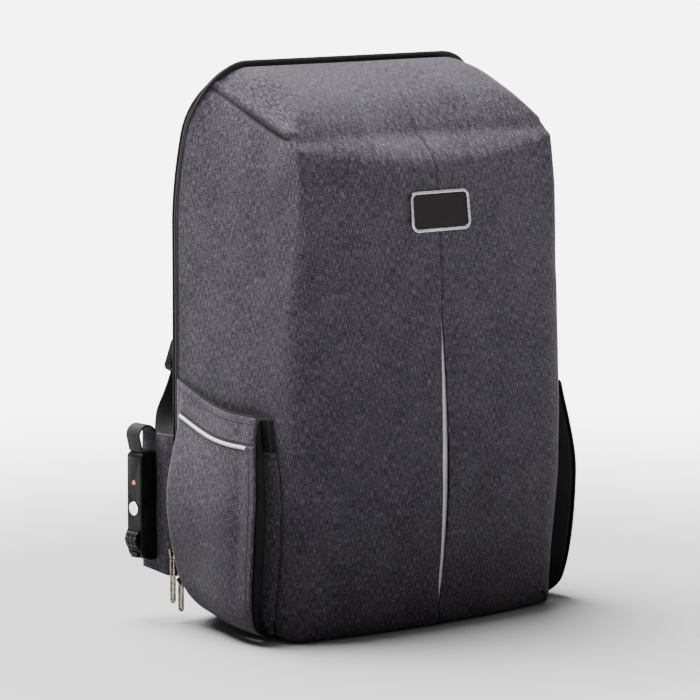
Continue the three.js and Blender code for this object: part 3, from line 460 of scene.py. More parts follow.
def woven_webbing():
    """Dense nylon webbing with fine cords and chevrons along it, with painted shade where the weave is
    low.
    """
    made = Finish("woven_webbing", "webbing", roughness=0.7, sheen_weight=0.02, sheen_roughness=0.4)
    made.dull()
    across, along = made.cloth()
    chevron = ((across.absolute() * 1.2 + along) * (2 * math.pi / 2.1)).sine()
    cords = (across * (2 * math.pi / 1.5)).sine()
    fuzz = made.grain(across / 0.4, along / 1.2, 2.0, 3.0)
    height = chevron * 0.3 + cords * 0.3 + fuzz * 0.5
    # Colour follows the weave's height: painted shade in its hollows, and random tone from the fuzz
    made.set("Base Color", made.blend(height.rising(-0.2, 0.8), WEBBING_DARK_AND_PAINTED_SHADE, WEBBING_LIGHT))
    made.relief(height, 0.3, 0.9)
    return made


def reflective_tape(name, tone):
    """Silver-grey tape of tiny glass beads."""
    made = Finish(name, "reflective", roughness=0.42, metallic=0.25)
    across, along = made.cloth()
    beads = made.grain(across / 0.18, along / 0.18, 1.0, 2.0)
    smear = made.grain(across / 3, along / 18, 6.0)
    share = beads * 0.6 + smear * 0.4
    dim, bright = warm_grey(tone * 0.72), warm_grey(tone)
    made.set("Base Color", made.blend(share.rising(0.3, 0.72), dim, bright))
    made.set("Roughness", 0.34 + share * 0.2)
    made.relief(beads, 0.06, 0.5)
    return made


def metal(name, slot, light, dark, roughness):
    """Plated metal with fine scratches and cloudy wear."""
    made = Finish(name, slot, metallic=1.0, roughness=roughness)
    place = made.place()
    cloudy = made.noise(place, 0.35, 3.0)
    fine = made.noise(place, 3.0, 3.0)
    made.set("Base Color", made.blend(cloudy.rising(0.35, 0.7), dark, light))
    made.set("Roughness", roughness + (fine - 0.5) * 0.16 + cloudy.rising(0.5, 0.8) * 0.08)
    made.relief(fine, 0.02, 0.4)
    return made


def moulded(name, slot, light, dark, roughness, grain_size=0.55, depth=0.05, shine=0.22):
    """Moulded plastic with a fine spark-eroded grain."""
    made = Finish(name, slot, roughness=roughness, specular_ior_level=shine)
    place = made.place()
    fine = made.noise(place, 1 / grain_size, 2.0)
    cloudy = made.noise(place, 0.12, 3.0)
    made.set("Base Color", made.blend(cloudy.rising(0.3, 0.7), dark, light))
    made.set("Roughness", roughness - 0.06 + fine * 0.12 + cloudy * 0.08)
    made.relief(fine, depth, 0.6)
    return made


HEATHER = heather_cloth()
BLACK_CLOTH = plain_cloth(
    "black_cloth", "black_cloth", (0.0055, 0.0052, 0.0058, 1), (0.002, 0.002, 0.0023, 1), 1.1
)
ZIP_TAPE = plain_cloth(
    "zip_tape", "black_cloth", (0.013, 0.012, 0.013, 1), (0.005, 0.0045, 0.005, 1), 0.9
)
ELASTIC = plain_cloth("elastic", "webbing", (0.006, 0.0055, 0.006, 1), (0.002, 0.002, 0.002, 1), 1.8)
MESH = spacer_mesh()
WEBBING = woven_webbing()
REFLECTIVE = reflective_tape("reflective_strip", 0.3)
PIPING = reflective_tape("reflective_piping", 0.42)
THREAD = plain_cloth("thread", "heather", (0.04, 0.033, 0.044, 1), (0.025, 0.02, 0.028, 1), 0.6)
GREY_THREAD = plain_cloth(
    "grey_thread", "webbing", (0.06, 0.057, 0.055, 1), (0.035, 0.034, 0.033, 1), 0.6
)
CHROME = metal("chrome", "chrome", (0.83, 0.83, 0.84, 1), (0.68, 0.68, 0.7, 1), 0.14)
NICKEL = metal("zip_nickel", "zip_metal", (0.3, 0.26, 0.2, 1), (0.09, 0.073, 0.055, 1), 0.24)
COIL = moulded("zip_coil", "black_cloth", (0.018, 0.017, 0.018, 1), (0.008, 0.008, 0.008, 1), 0.42)
GLOSS_BLACK = moulded(
    "gloss_black",
    "gloss_black",
    (0.0065, 0.005, 0.0055, 1),
    (0.0045, 0.0035, 0.004, 1),
    roughness=0.45,
    grain_size=0.4,
    depth=0.02,
    shine=0.07,
)
LOCK_PLASTIC = moulded(
    "lock_plastic",
    "black_plastic",
    (0.006, 0.005, 0.005, 1),
    (0.003, 0.0026, 0.0026, 1),
    roughness=0.42,
    shine=0.07,
)
DIAL_PLASTIC = moulded(
    "dial_plastic",
    "dial_plastic",
    (0.009, 0.008, 0.008, 1),
    (0.005, 0.0045, 0.0045, 1),
    roughness=0.42,
    shine=0.12,
)
ORANGE = moulded("orange_dot", "orange", (0.75, 0.24, 0.07, 1), (0.6, 0.16, 0.04, 1), 0.35, 0.4, 0.02)


# Making pieces


def running_length(points):
    lengths = [0.0]
    for a, b in zip(points, points[1:]):
        lengths.append(lengths[-1] + (b - a).length)
    return lengths


def loft(mesh, rows, closed=False):
    """Adds a grid whose vertices lie on rows of points, with real lengths as its UV map."""
    count = len(rows[0])
    across = count if closed else count - 1
    up = len(rows) - 1
    cloth = mesh.loops.layers.uv.get("cloth") or mesh.loops.layers.uv.new("cloth")
    made = bmesh.ops.create_grid(mesh, x_segments=across, y_segments=up, size=0.5)["verts"]
    middle = rows[len(rows) // 2]
    lengths = running_length([middle[i % count] for i in range(across + 1)])
    heights = running_length([row[count // 2] for row in rows])
    centre = lengths[-1] / 2
    for vert in made:
        i = round((vert.co.x + 0.5) * across)
        j = round((vert.co.y + 0.5) * up)
        for loop in vert.link_loops:
            loop[cloth].uv = (lengths[i] - centre, heights[j])
        vert.co = rows[j][i % count]
    if closed:
        bmesh.ops.remove_doubles(mesh, verts=made, dist=1e-4)
    return [vert for vert in made if vert.is_valid]


def close_ends(mesh):
    """Fills every open edge of a tube."""
    edges = [edge for edge in mesh.edges if edge.is_boundary]
    bmesh.ops.holes_fill(mesh, edges=edges, sides=0)


def place_piece(name, mesh, finish, replaces=(), body=BAG, outward=True, angle=50):
    """Makes a finished piece of a mesh in millimetres."""
    bmesh.ops.scale(mesh, vec=(MM, MM, MM), verts=mesh.verts)
    if outward:
        bmesh.ops.recalc_face_normals(mesh, faces=mesh.faces)
    data = bpy.data.meshes.new(name)
    mesh.to_mesh(data)
    mesh.free()
    data.materials.append(finish.data)
    data.shade_smooth()
    data.set_sharp_from_angle(angle=math.radians(angle))
    made = bpy.data.objects.new(name, data)
    bpy.context.scene.collection.objects.link(made)
    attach(made, body)
    if replaces:
        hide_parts(*replaces)
    return made


def mirrored(mesh):
    """The same mesh on the bag's other side."""
    made = mesh.copy()
    bmesh.ops.scale(made, vec=(-1, 1, 1), verts=made.verts)
    bmesh.ops.reverse_faces(made, faces=made.faces)
    return made


def pair(name, mesh, finish, replaces=(), after=None, **settings):
    """A piece on the left and its mirror image on the right. after finishes each one."""
    for side, half in (("left", mesh), ("right", mirrored(mesh))):
        nodes = [f"{node}_{side}" for node in replaces]
        made = place_piece(f"{name}_{side}", half, finish, nodes, **settings)
        if after:
            after(made)


def thicken(made, thickness, offset=-1.0, lining=None, even=True):
    """Gives cloth its thickness, with another cloth on the inside where it has a lining."""
    wall = made.modifiers.new("wall", "SOLIDIFY")
    wall.thickness = thickness * MM
    wall.offset = offset
    wall.use_even_offset = even
    if lining:
        made.data.materials.append(lining.data)
        wall.material_offset = 1
        wall.material_offset_rim = 0


def tube(mesh, path, radius, sides=8, closed=False):
    """Adds a round tube along a path."""
    rings = []
    last = len(path) - 1
    side = None
    for i, point in enumerate(path):
        before = path[i - 1] if i or closed else point
        after = path[(i + 1) % len(path)] if i < last or closed else point
        along = (after - before).normalized()
        if side is None:
            side = along.orthogonal().normalized()
        side = (side - along * side.dot(along)).normalized()
        other = along.cross(side)
        rings.append(
            [
                point
                + side * radius * math.cos(2 * math.pi * k / sides)
                + other * radius * math.sin(2 * math.pi * k / sides)
                for k in range(sides)
            ]
        )
    if closed:
        rings.append(rings[0])
    verts = loft(mesh, rings, closed=True)
    if closed:
        bmesh.ops.remove_doubles(mesh, verts=verts, dist=1e-3)
    return mesh


def spaced(path, pitch):
    """Places along a path at an even pitch, each with its direction."""
    lengths = running_length(path)
    count = max(1, int(lengths[-1] / pitch))
    places = []
    k = 0
    for i in range(count):
        at = (i + 0.5) * lengths[-1] / count
        while k + 2 < len(lengths) and lengths[k + 1] < at:
            k += 1
        step = path[k + 1] - path[k]
        share = (at - lengths[k]) / max(1e-9, lengths[k + 1] - lengths[k])
        places.append((path[k] + step * share, step.normalized()))
    return places


def peg(mesh, place, along, depth, low_radius, high_radius, segments):
    """Adds a short round peg that lies along a direction."""
    turn = along.to_track_quat("Z", "Y").to_matrix().to_4x4()
    bmesh.ops.create_cone(
        mesh,
        cap_ends=True,
        segments=segments,
        radius1=low_radius,
        radius2=high_radius,
        depth=depth,
        matrix=Matrix.Translation(place) @ turn,
    )


# Stitches: length, pitch and radius
COARSE_STITCH = (3.0, 4.0, 0.32)
BOX_STITCH = (1.9, 2.6, 0.28)
ELASTIC_STITCH = (1.3, 2.2, 0.3)
LOOP_STITCH = (1.7, 2.3, 0.3)


def stitch(mesh, path, size=COARSE_STITCH):
    """Adds a line of short threads along a path."""
    length, pitch, radius = size
    for place, along in spaced(path, pitch):
        peg(mesh, place, along, length, radius, radius, 6)


def rounded_rectangle(half_width, half_height, corner, steps):
    """Places round a rectangle with round corners, against the clock."""
    places = []
    for quarter, (sx, sy) in enumerate(((1, 1), (-1, 1), (-1, -1), (1, -1))):
        for a in spread(quarter * math.pi / 2, (quarter + 1) * math.pi / 2, steps + 1):
            x = sx * (half_width - corner) + corner * math.cos(a)
            places.append((x, sy * (half_height - corner) + corner * math.sin(a)))
    return places


def ribbon(stations, corner=0.5, corner_steps=2):
    """A flat band through stations: middle, width direction, face direction, width, thickness."""
    rings = []
    for at, across, facing, width, thickness in stations:
        across, facing = across.normalized(), facing.normalized()
        round_by = min(corner, thickness / 2 * 0.98)
        places = rounded_rectangle(width / 2, thickness / 2, round_by, corner_steps)
        rings.append([at + across * x + facing * y for x, y in places])
    mesh = bmesh.new()
    loft(mesh, rings, closed=True)
    close_ends(mesh)
    return mesh


def soften_edges(made, width, segments, angle):
    """Rounds the edges that are sharper than an angle, by a width in millimetres."""
    soft = made.modifiers.new("soft_edges", "BEVEL")
    soft.width = width * MM
    soft.segments = segments
    soft.limit_method = "ANGLE"
    soft.angle_limit = math.radians(angle)
    return soft


SHARP_ANGLE = 35
MERGE_WITHIN = 1e-5


def cad_copy(name, finish, width, segments=2, body=BAG):
    """A CAD node's shape with its doubles merged, its flats whole and its edges rounded."""
    mesh = bmesh.new()
    mesh.from_mesh(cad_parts[name].data)
    bmesh.ops.remove_doubles(mesh, verts=mesh.verts, dist=MERGE_WITHIN)
    bmesh.ops.dissolve_limit(
        mesh, angle_limit=math.radians(1), verts=mesh.verts, edges=mesh.edges, delimit=set()
    )
    bmesh.ops.scale(mesh, vec=(1 / MM,) * 3, verts=mesh.verts)
    made = place_piece(f"{name}_shaped", mesh, finish, [name], body=body, angle=SHARP_ANGLE)
    soften_edges(made, width, segments, SHARP_ANGLE).harden_normals = True


# Shell


def front_y(x, z):
    """How far back the front surface lies at a place seen from the front."""
    up = z / CROWN_HEIGHT
    lean = FRONT_LEAN * read(FRONT_PROFILE, up, "setback")
    bow = mix(BASE_BOW, CROWN_BOW, clamp(up))
    return FRONT_Y + lean + bow * (x / FRONT_HALF_WIDTH) ** 2


def near_crown(z):
    return smooth((z - NARROWING_START) / (CROWN_HEIGHT - NARROWING_START))


def rim_lean(z):
    """How far the back edge leans forward at a height."""
    return RIM_LEAN * clamp((z - RIM_LEAN_START) / (SHELL_TOP - RIM_LEAN_START)) ** 1.7


def edge_inset(z):
    return mix(EDGE_INSET, CROWN_CORNER_ROUND, near_crown(z))


def edge_depth(z):
    return mix(EDGE_DEPTH, CROWN_CORNER_ROUND, near_crown(z))


class Section:
    """Sizes of the cross section at a share of the way from the back edge to the front."""

    def __init__(self, share):
        rise_share = BASE_RISE_LENGTH / (RIM_Y - FRONT_Y)
        bulge = SIDE_BULGE * math.sin(math.pi * share)
        self.width = mix(BACK_HALF_WIDTH, FRONT_HALF_WIDTH, share) + bulge
        self.top = mix(SHELL_TOP, CROWN_HEIGHT, read(ROOF, share, "drop"))
        self.bottom = BASE_RISE * smooth(1 - share / rise_share)
        self.shoulder_width = max(2, SHOULDER_WIDTH * read(ROOF, share, "width"))
        self.shoulder_height = max(2, SHOULDER_HEIGHT * read(ROOF, share, "height"))
        self.corner = max(2, mix(BASE_CORNER_BACK, BASE_CORNER_FRONT, share))
        self.lean = CROWN_NARROWING * share


class Spot:
    """A point of a cross section, and the direction it faces: 0 sideways, a right angle upwards."""

    def __init__(self, x, z, facing, side=1):
        self.x, self.z, self.facing, self.side = x, z, facing, side


# How the steps of an outline crowd towards its corners
CROWDING = 1.35


def half_outline(s, middle=MIDDLE_STEPS, sides=SIDE_STEPS, corners=CORNER_STEPS):
    """The right half of a cross section, from the middle of the base to the middle of the top."""
    spots = []

    def put(x, z, facing):
        lean = s.lean * near_crown(z)
        spots.append(Spot(x * (s.width - lean) / s.width, z, facing))

    quarter = math.pi / 2
    for i in range(middle):
        put((s.width - s.corner) * (i / middle) ** CROWDING, s.bottom, -quarter)
    for i in range(corners):
        a = -quarter + quarter * i / corners
        put(s.width - s.corner * (1 - math.cos(a)), s.bottom + s.corner * (1 + math.sin(a)), a)
    low, high = s.bottom + s.corner, s.top - s.shoulder_height
    for i in range(sides):
        put(s.width, mix(low, high, i / sides), 0)
    for i in range(corners):
        a = quarter * i / corners
        put(s.width - s.shoulder_width * (1 - math.cos(a)), high + s.shoulder_height * math.sin(a), a)
    for i in range(middle + 1):
        put((s.width - s.shoulder_width) * (1 - i / middle) ** CROWDING, s.top, quarter)
    return spots


def outline(s, **steps):
    """The whole cross section, with the left half as the right one's mirror image."""
    half = half_outline(s, **steps)
    left = [Spot(-p.x, p.z, p.facing, -1) for p in reversed(half[1:-1])]
    return half + left


def rounding(p):
    """Where the front's rounding ends for a spot of the front cross section, and its depth."""
    sideways = math.cos(p.facing) ** 2
    middle = clamp(1 - (p.x / (FRONT_HALF_WIDTH - CROWN_NARROWING - 6)) ** 2)
    crown = mix(CROWN_EDGE_ROUND, CROWN_MIDDLE_ROUND, middle)
    upright = crown if p.facing > 0 else BASE_FRONT_ROUND
    x = p.x - p.side * edge_inset(p.z) * math.cos(p.facing)
    z = p.z - upright * math.sin(p.facing)
    return x, z, max(1, mix(upright * 0.8, edge_depth(p.z), sideways))


def shell_rings():
    """Rings from the back edge round to where the flat of the front starts."""
    front = [(p, *rounding(p)) for p in outline(Section(1))]
    start = [front_y(x, z) + depth for _, x, z, depth in front]
    rim = [RIM_Y - rim_lean(p.z) for p in outline(Section(0))]
    rings = []
    for share in spread(0, 1, DEPTH_STEPS + 1):
        spots = outline(Section(share))
        rings.append([Vector((p.x, mix(rim[i], start[i], share), p.z)) for i, p in enumerate(spots)])
    for k in range(1, ROUND_STEPS + 1):
        a = math.pi / 2 * k / ROUND_STEPS
        ring = []
        for i, (p, x, z, depth) in enumerate(front):
            t = 1 - (1 - k / ROUND_STEPS) ** 1.2
            upwards = clamp(math.sin(p.facing)) ** 2
            ahead = mix(math.sin(a), 1 - (1 - t) ** 2, upwards)
            across = 1 - math.cos(a)
            down = mix(across, 2 * t * (1 - t) * CROWN_SLOPE + t * t, upwards)
            ring.append(Vector((mix(p.x, x, across), start[i] - depth * ahead, mix(p.z, z, down))))
        rings.append(ring)
    return rings


def slit_half_width(z):
    """Half the slit's opening at a height."""
    t = clamp((z - SLIT_LOW) / (SLIT_HIGH - SLIT_LOW))
    return SLIT_HALF_WIDTH * math.sin(math.pi * t**0.9) ** 0.8


def front_half(ring):
    """Rows of points over the right half of the front, from the slit's lip out to the last ring."""
    count = len(ring) // 2 + 1
    half = ring[:count]
    low_row = half[: MIDDLE_STEPS + 1]
    side = half[MIDDLE_STEPS : count - MIDDLE_STEPS]
    high_row = list(reversed(half[count - 1 - MIDDLE_STEPS :]))
    bottom, top = side[0].z, side[-1].z
    rows = []
    for i, edge in enumerate(side):
        up = (edge.z - bottom) / (top - bottom)
        even = i / (len(side) - 1)
        row = []
        for low, high in zip(low_row, high_row):
            share = mix(low.x / low_row[-1].x, high.x / high_row[-1].x, up)
            z = mix(low.z, high.z, mix(even, up, share**3))
            lip = slit_half_width(z) * (1 - share) ** 3
            x = edge.x * share + lip
            row.append(Vector((x, front_y(x, z), z)))
        rows.append(row)
    return rows


# The seams along the roof's sides, from the back edge to the crown's corners
DART_BACK = Vector((-134, 47, 429))
DART_FRONT = Vector((-131, -46, 391))
DART_OUTWARD = Vector((-0.72, -0.22, 0.66))
DART_CUTS = (-5.5, -3.4, -2.1, -1, 0, 1, 2.1, 3.2, 4.6, 6.5, 9)
DART_DEPTH = 2.8
DART_WIDTH = 1.7
DART_BANK = 2.4
DART_HOOK = 5

# The middle seam above and below the slit, the cloth's pull towards it and the crease over the roof
SEAM_GROOVE = 1.0
SEAM_BANK = 0.35
SEAM_PULL = 0.9
SEAM_PULL_WIDTH = 9
CREASE_DRIFT = 19
CREASE_BANK = 0.7
CREASE_DEPTH = 0.8

# Waves of the whole cloth: how long, how high and where their noise starts
WAVES = table("length height seed", (70, 1.0, 0.0), (26, 0.45, 5.0))
CROWN_WAVE = 1.2

# Shallow dents and swellings of the cloth
DENTS = table(
    "x y z radius depth",
    (-106, -61, 372, 20, -3.4),
    (-88, -63, 362, 26, -3.0),
    (-118, -56, 352, 30, -1.6),
    (-140, -30, 384, 20, -1.6),
    (-70, -50, 392, 34, 1.8),
    (112, -60, 372, 24, -1.8),
    (-60, -64, 340, 60, 1.0),
    (70, -66, 330, 70, 1.0),
    (-150, -20, 300, 60, -1.6),
    (150, -20, 300, 60, -1.6),
    (-40, 20, 440, 55, -1.4),
    (60, 10, 436, 50, 1.2),
    (0, -20, 424, 45, -1.0),
    (-75, -78, 120, 70, 1.4),
    (75, -78, 120, 70, 1.4),
    (-128, -60, 60, 34, -1.4),
    (128, -60, 60, 34, -1.4),
)


def dart_axes(side):
    """Start, direction and width direction of a roof seam; side is -1 on the left."""
    flip = Vector((-side, 1, 1))
    start, end, out = DART_BACK * flip, DART_FRONT * flip, DART_OUTWARD * flip
    along = end - start
    return start, along, along.cross(out).normalized() * side


def cut_dart(mesh, side):
    start, along, across = dart_axes(side)
    reach = along.length
    for offset in DART_CUTS:
        near = []
        for face in mesh.faces:
            place = face.calc_center_median() - start
            t = place.dot(along) / reach**2
            if -0.1 < t < 1.12 and (place - along * t).length < 16:
                near.append(face)
        edges = {edge for face in near for edge in face.edges}
        verts = {vert for face in near for vert in face.verts}
        bmesh.ops.bisect_plane(
            mesh,
            geom=[*verts, *edges, *near],
            dist=1e-3,
            plane_co=start + across * offset,
            plane_no=across,
        )


def dart_relief(p):
    """Offset of the cloth near a roof seam, and the painted shade along its groove."""
    side = -1 if p.x < 0 else 1
    start, along, across = dart_axes(side)
    place = p - start
    t = place.dot(along) / along.length_squared
    beside = place.dot(across)
    if not -0.15 < t < 1.25 or (place - along * t).length > 18:
        return 0.0, 0.0
    beside -= DART_HOOK * smooth((t - 0.9) / 0.12) ** 2
    fade = 1 - smooth((t - 0.93) / 0.1)
    grow = mix(0.55, 1.0, smooth(t * 1.6))
    groove = -DART_DEPTH * bump(beside, DART_WIDTH)
    bank = DART_BANK * bump(beside - 4.8, 3.4) * (1 if side < 0 else 0.4)
    return (groove + bank) * fade * grow, 0.97 * bump(beside, 2.0 * grow) * fade


def centre_relief(p):
    """Offset of the cloth near the front's middle seam, and the painted shade along its groove."""
    if p.y > 0:
        return 0.0, 0.0
    above = smooth((p.z - SLIT_HIGH + 10) / 10) * (1 - smooth((p.z - CROWN_HEIGHT + 12) / 20))
    below = 1 - smooth((p.z - SLIT_LOW - 2) / 6)
    there = max(above, below)
    groove = -SEAM_GROOVE * bump(p.x, 1.0) + SEAM_BANK * bump(abs(p.x) - 3.2, 1.8)
    beside_slit = smooth((p.z - SLIT_LOW) / 20) * (1 - smooth((p.z - SLIT_HIGH) / 40))
    pull = -SEAM_PULL * bump(p.x, SEAM_PULL_WIDTH) * beside_slit
    return groove * there + pull, 0.72 * bump(p.x, 0.8) * there


def roof_crease(p):
    """The faint line that runs on from the middle seam over the roof: its fold, and painted shade along
    it.
    """
    if p.z < CROWN_HEIGHT - 20 or p.y > 40:
        return 0.0, 0.0
    beside = p.x - CREASE_DRIFT * smooth((p.y + 46) / 80)
    there = smooth((p.z - CROWN_HEIGHT + 16) / 14) * (1 - smooth((p.y - 10) / 25))
    fold = CREASE_BANK * bump(beside - 2, 4) - CREASE_DEPTH * bump(beside + 1.5, 2.2)
    return fold * there, 0.3 * bump(beside, 1) * there


def slack(p, size, seed):
    """Noise about nothing, for the uneven lie of cloth."""
    return noise.noise(p / size + Vector((seed, 0, 0)))


def crown_softness(p):
    """Low waves along the crease between the roof and the front."""
    near = bump(p.z - 384, 22) * (1 - smooth((p.y + 30) / 40))
    return near * CROWN_WAVE * slack(Vector((p.x, 0, 0)), 40, 3.3)


# Where the cloth rounds off the crown more than its frame does: place, reach and how often
SOFT_PLACES = table(
    "x y z reach times",
    (-131, -56, 385, 50, 10),
    (-131, -56, 385, 34, 14),
    (-131, -56, 385, 22, 14),
    (-134, -50, 355, 42, 24),
    (-134, -48, 325, 42, 24),
    (-134, -46, 292, 42, 16),
    (134, -48, 345, 34, 8),
    (134, -48, 310, 34, 8),
)
CROWN_BELTS = table("half_height times", (30, 8), (22, 10), (15, 10))
CROWN_LINE = CROWN_HEIGHT - 10
SHARP_CORNER_X = 108


def relax_crown(mesh):
    """Smooths the crown's crease, except at its right corner, and the left corner most."""
    for half_height, times in zip(*CROWN_BELTS.values()):
        belt = [
            vert
            for vert in mesh.verts
            if abs(vert.co.z - CROWN_LINE) < half_height
            and vert.co.y < 0
            and vert.co.x < SHARP_CORNER_X
        ]
        for _ in range(times):
            bmesh.ops.smooth_vert(mesh, verts=belt, factor=0.5)
    for x, y, z, reach, times in zip(*SOFT_PLACES.values()):
        centre = Vector((x, y, z))
        near = [vert for vert in mesh.verts if (vert.co - centre).length < reach]
        for _ in range(times):
            bmesh.ops.smooth_vert(mesh, verts=near, factor=0.5)


def soften_shell(mesh):
    """Waves, dents and seams, as offsets along the cloth's own normal, with painted shade for the seams'
    grooves kept in the seam attribute.
    """
    mesh.normal_update()
    seam = mesh.verts.layers.float.new("seam")
    dents = list(zip(*DENTS.values()))
    waves = list(zip(*WAVES.values()))
    moved = []
    for vert in mesh.verts:
        p = vert.co
        offset = sum(height * slack(p, length, seed) for length, height, seed in waves)
        for x, y, z, radius, depth in dents:
            distance = (p - Vector((x, y, z))).length
            if distance < 2.5 * radius:
                offset += depth * bump(distance, radius)
        offset += crown_softness(p)
        near_rim = smooth((RIM_Y - rim_lean(p.z) - p.y) / 12)
        near_base = smooth(p.z / 25)
        offset *= near_rim * near_base
        # Each relief also gives painted shade for its groove; the darkest is kept in the seam attribute
        for part, dark in (dart_relief(p), centre_relief(p), roof_crease(p)):
            offset += part
            vert[seam] = max(vert[seam], dark)
        moved.append((vert, p + vert.normal * offset))
    for vert, place in moved:
        vert.co = place


def cloth_on_shell(mesh):
    """UV map in millimetres: the roof and base follow the front's width, the sides wrap round it."""
    cloth = mesh.loops.layers.uv["cloth"]
    for face in mesh.faces:
        centre, normal = face.calc_center_median(), face.normal
        side = -1 if centre.x < 0 else 1
        start, _, across = dart_axes(side)
        roof = (centre - start).dot(across) > 0 if centre.z > 330 else abs(normal.z) > abs(normal.x)
        roof = roof and normal.z > 0.25 or normal.z < -0.8
        for loop in face.loops:
            p = loop.vert.co
            behind = max(0.0, p.y - front_y(p.x, min(p.z, CROWN_HEIGHT)))
            if roof:
                loop[cloth].uv = (p.x, CROWN_HEIGHT + 1.15 * behind)
            else:
                wide = mix(abs(p.x), BACK_HALF_WIDTH, smooth((behind - EDGE_DEPTH) / 20))
                loop[cloth].uv = (side * (wide + behind), p.z)


def turn_lips_in(mesh):
    """Folds the slit's edges inwards."""
    for inwards, sideways in ((0.5, -0.15), (0.8, 0.25), (0.9, 0.7)):
        lips = [
            edge
            for edge in mesh.edges
            if edge.is_boundary and all(abs(v.co.x) < 7 and v.co.y < -50 for v in edge.verts)
        ]
        made = bmesh.ops.extrude_edge_only(mesh, edges=lips)["geom"]
        for vert in (part for part in made if isinstance(part, bmesh.types.BMVert)):
            side = -1 if vert.co.x < 0 else 1
            vert.co += Vector((side * sideways, inwards, 0))


def bag_shell():
    """The bag's cloth: ring upon ring from the back edge, then the front's two halves."""
    rings = shell_rings()
    mesh = bmesh.new()
    loft(mesh, rings, closed=True)
    rows = front_half(rings[-1])
    loft(mesh, rows)
    loft(mesh, [[Vector((-p.x, p.y, p.z)) for p in row] for row in rows])
    bmesh.ops.remove_doubles(mesh, verts=mesh.verts, dist=0.05)
    bmesh.ops.recalc_face_normals(mesh, faces=mesh.faces)
    foremost = min(mesh.faces, key=lambda face: face.calc_center_median().y)
    if foremost.normal.y > 0:
        bmesh.ops.reverse_faces(mesh, faces=mesh.faces)
    relax_crown(mesh)
    for side in (-1, 1):
        cut_dart(mesh, side)
    soften_shell(mesh)
    mesh.normal_update()
    cloth_on_shell(mesh)
    turn_lips_in(mesh)
    made = place_piece("bag_shell", mesh, HEATHER, ["shell"], outward=False, angle=80)
    thicken(made, CLOTH_WALL, even=False)


def front_strip():
    """The reflective strip behind the slit."""
    mesh = bmesh.new()
    rows = []
    for z in spread(SLIT_LOW + 5, SLIT_HIGH - 5, 61):
        half = slit_half_width(z) + 0.6
        y = front_y(0, z) + SLIT_DEPTH
        rows.append([Vector((half * t, y - 0.5 * (1 - t * t), z)) for t in spread(-1, 1, 6)])
    loft(mesh, rows)
    made = place_piece("front_strip", mesh, REFLECTIVE, ["front_reflective_strip"])
    thicken(made, 0.5)


# Zip band


def back_ring(y, inset, rise=0.0, **steps):
    """The back edge's outline at a depth, set in and raised at the top."""
    s = Section(0)
    ring = []
    for p in outline(s, **steps):
        flat = math.cos(p.facing) < 1e-6
        x = p.x * (1 - inset / s.width) if flat else p.x - p.side * inset * math.cos(p.facing)
        z = p.z - inset * math.sin(p.facing) + rise * clamp(math.sin(p.facing))
        ring.append(Vector((x, y - rim_lean(z), z)))
    return ring


def zip_band():
    """Tape round the back edge, with a welt along each side of the teeth."""
    profile = table(
        "depth inset rise",
        (-1.6, 4.5, 0),
        (-1.6, 0.2, 0.5),
        (-1.2, -0.5, 0.85),
        (0.2, -0.6, 1),
        (0.8, -0.2, 1),
        (1.1, 0.5, 1),
        (1.3, 1.2, 1),
        (1.9, 1.2, 1),
        (2.1, 0.5, 1),
        (2.5, 0.15, 1),
        (2.95, 0.3, 1),
        (3.2, 1.0, 1),
        (3.2, 4.5, 0),
    )
    rings = [
        back_ring(RIM_Y + GAP + depth, inset, BAND_RISE * rise)
        for depth, inset, rise in zip(*profile.values())
    ]
    mesh = bmesh.new()
    loft(mesh, [*rings, rings[0]], closed=True)
    bmesh.ops.remove_doubles(mesh, verts=mesh.verts, dist=1e-3)
    place_piece("zip_tape", mesh, ZIP_TAPE, ["zip_band"], angle=60)


TOOTH_PITCH = 1.9


def zip_teeth():
    """A row of small teeth in the band's groove."""
    mesh = bmesh.new()
    ring = back_ring(RIM_Y + GAP + BAND_DEPTH / 2, 0.95, BAND_RISE)
    for place, along in spaced([*ring, ring[0]], TOOTH_PITCH):
        peg(mesh, place, along, 1.3, 0.55, 0.4, 5)
    place_piece("zip_coil", mesh, COIL)


# Back panel

PANEL_STEPS = {"middle": 24, "sides": 50, "corners": 12}
PANEL_FACE = PANEL_BACK - 4.2


def back_panel():
    """A flat panel of air mesh over foam, bound round its edge."""
    mesh = bmesh.new()
    edge = table("y inset", (0.2, 4.6), (0.6, 4.0), (2.0, 3.7), (4.6, 3.8), (6.0, 4.6), (6.8, 6.4))
    rings = [
        back_ring(PANEL_FRONT + y, inset, **PANEL_STEPS) for y, inset in zip(edge["y"], edge["inset"])
    ]
    outer = rings[-1]
    middle = SHELL_TOP / 2
    for share in (0.93, 0.85, 0.77, 0.69, 0.6, 0.5, 0.4, 0.3, 0.2, 0.1, 0.03):
        ring = []
        for p in outer:
            z = mix(middle, p.z, share)
            ring.append(Vector((p.x * share, PANEL_FACE - rim_lean(z), z)))
        rings.append(ring)
    loft(mesh, rings, closed=True)
    close_ends(mesh)
    place_piece("back_panel_mesh", mesh, MESH, ["back_panel"], angle=70)
    piping = bmesh.new()
    tube(piping, back_ring(PANEL_BACK - 3.6, 5.4, **PANEL_STEPS), 1.7, 8, closed=True)
    place_piece("back_panel_piping", piping, BLACK_CLOTH)


# Back pads: centre, half sizes and corner radius, then their form from the seam to the face
BACK_PADS = table(
    "name x z half_width half_height corner",
    ("upper", 60, 300, 40, 66, 22),
    ("lower", 60, 148, 40, 72, 22),
)
PAD_PROFILE = table(
    "inset lift",
    (6, -2.0),
    (0.5, -1.0),
    (0.0, 0.6),
    (1.2, 2.0),
    (4.5, 2.9),
    (12, 3.1),
    (24, 3.1),
)
CHANNEL_ROWS = 2.5
CHANNEL_WIDTH = 3
CHANNEL_DEPTH = 2.2


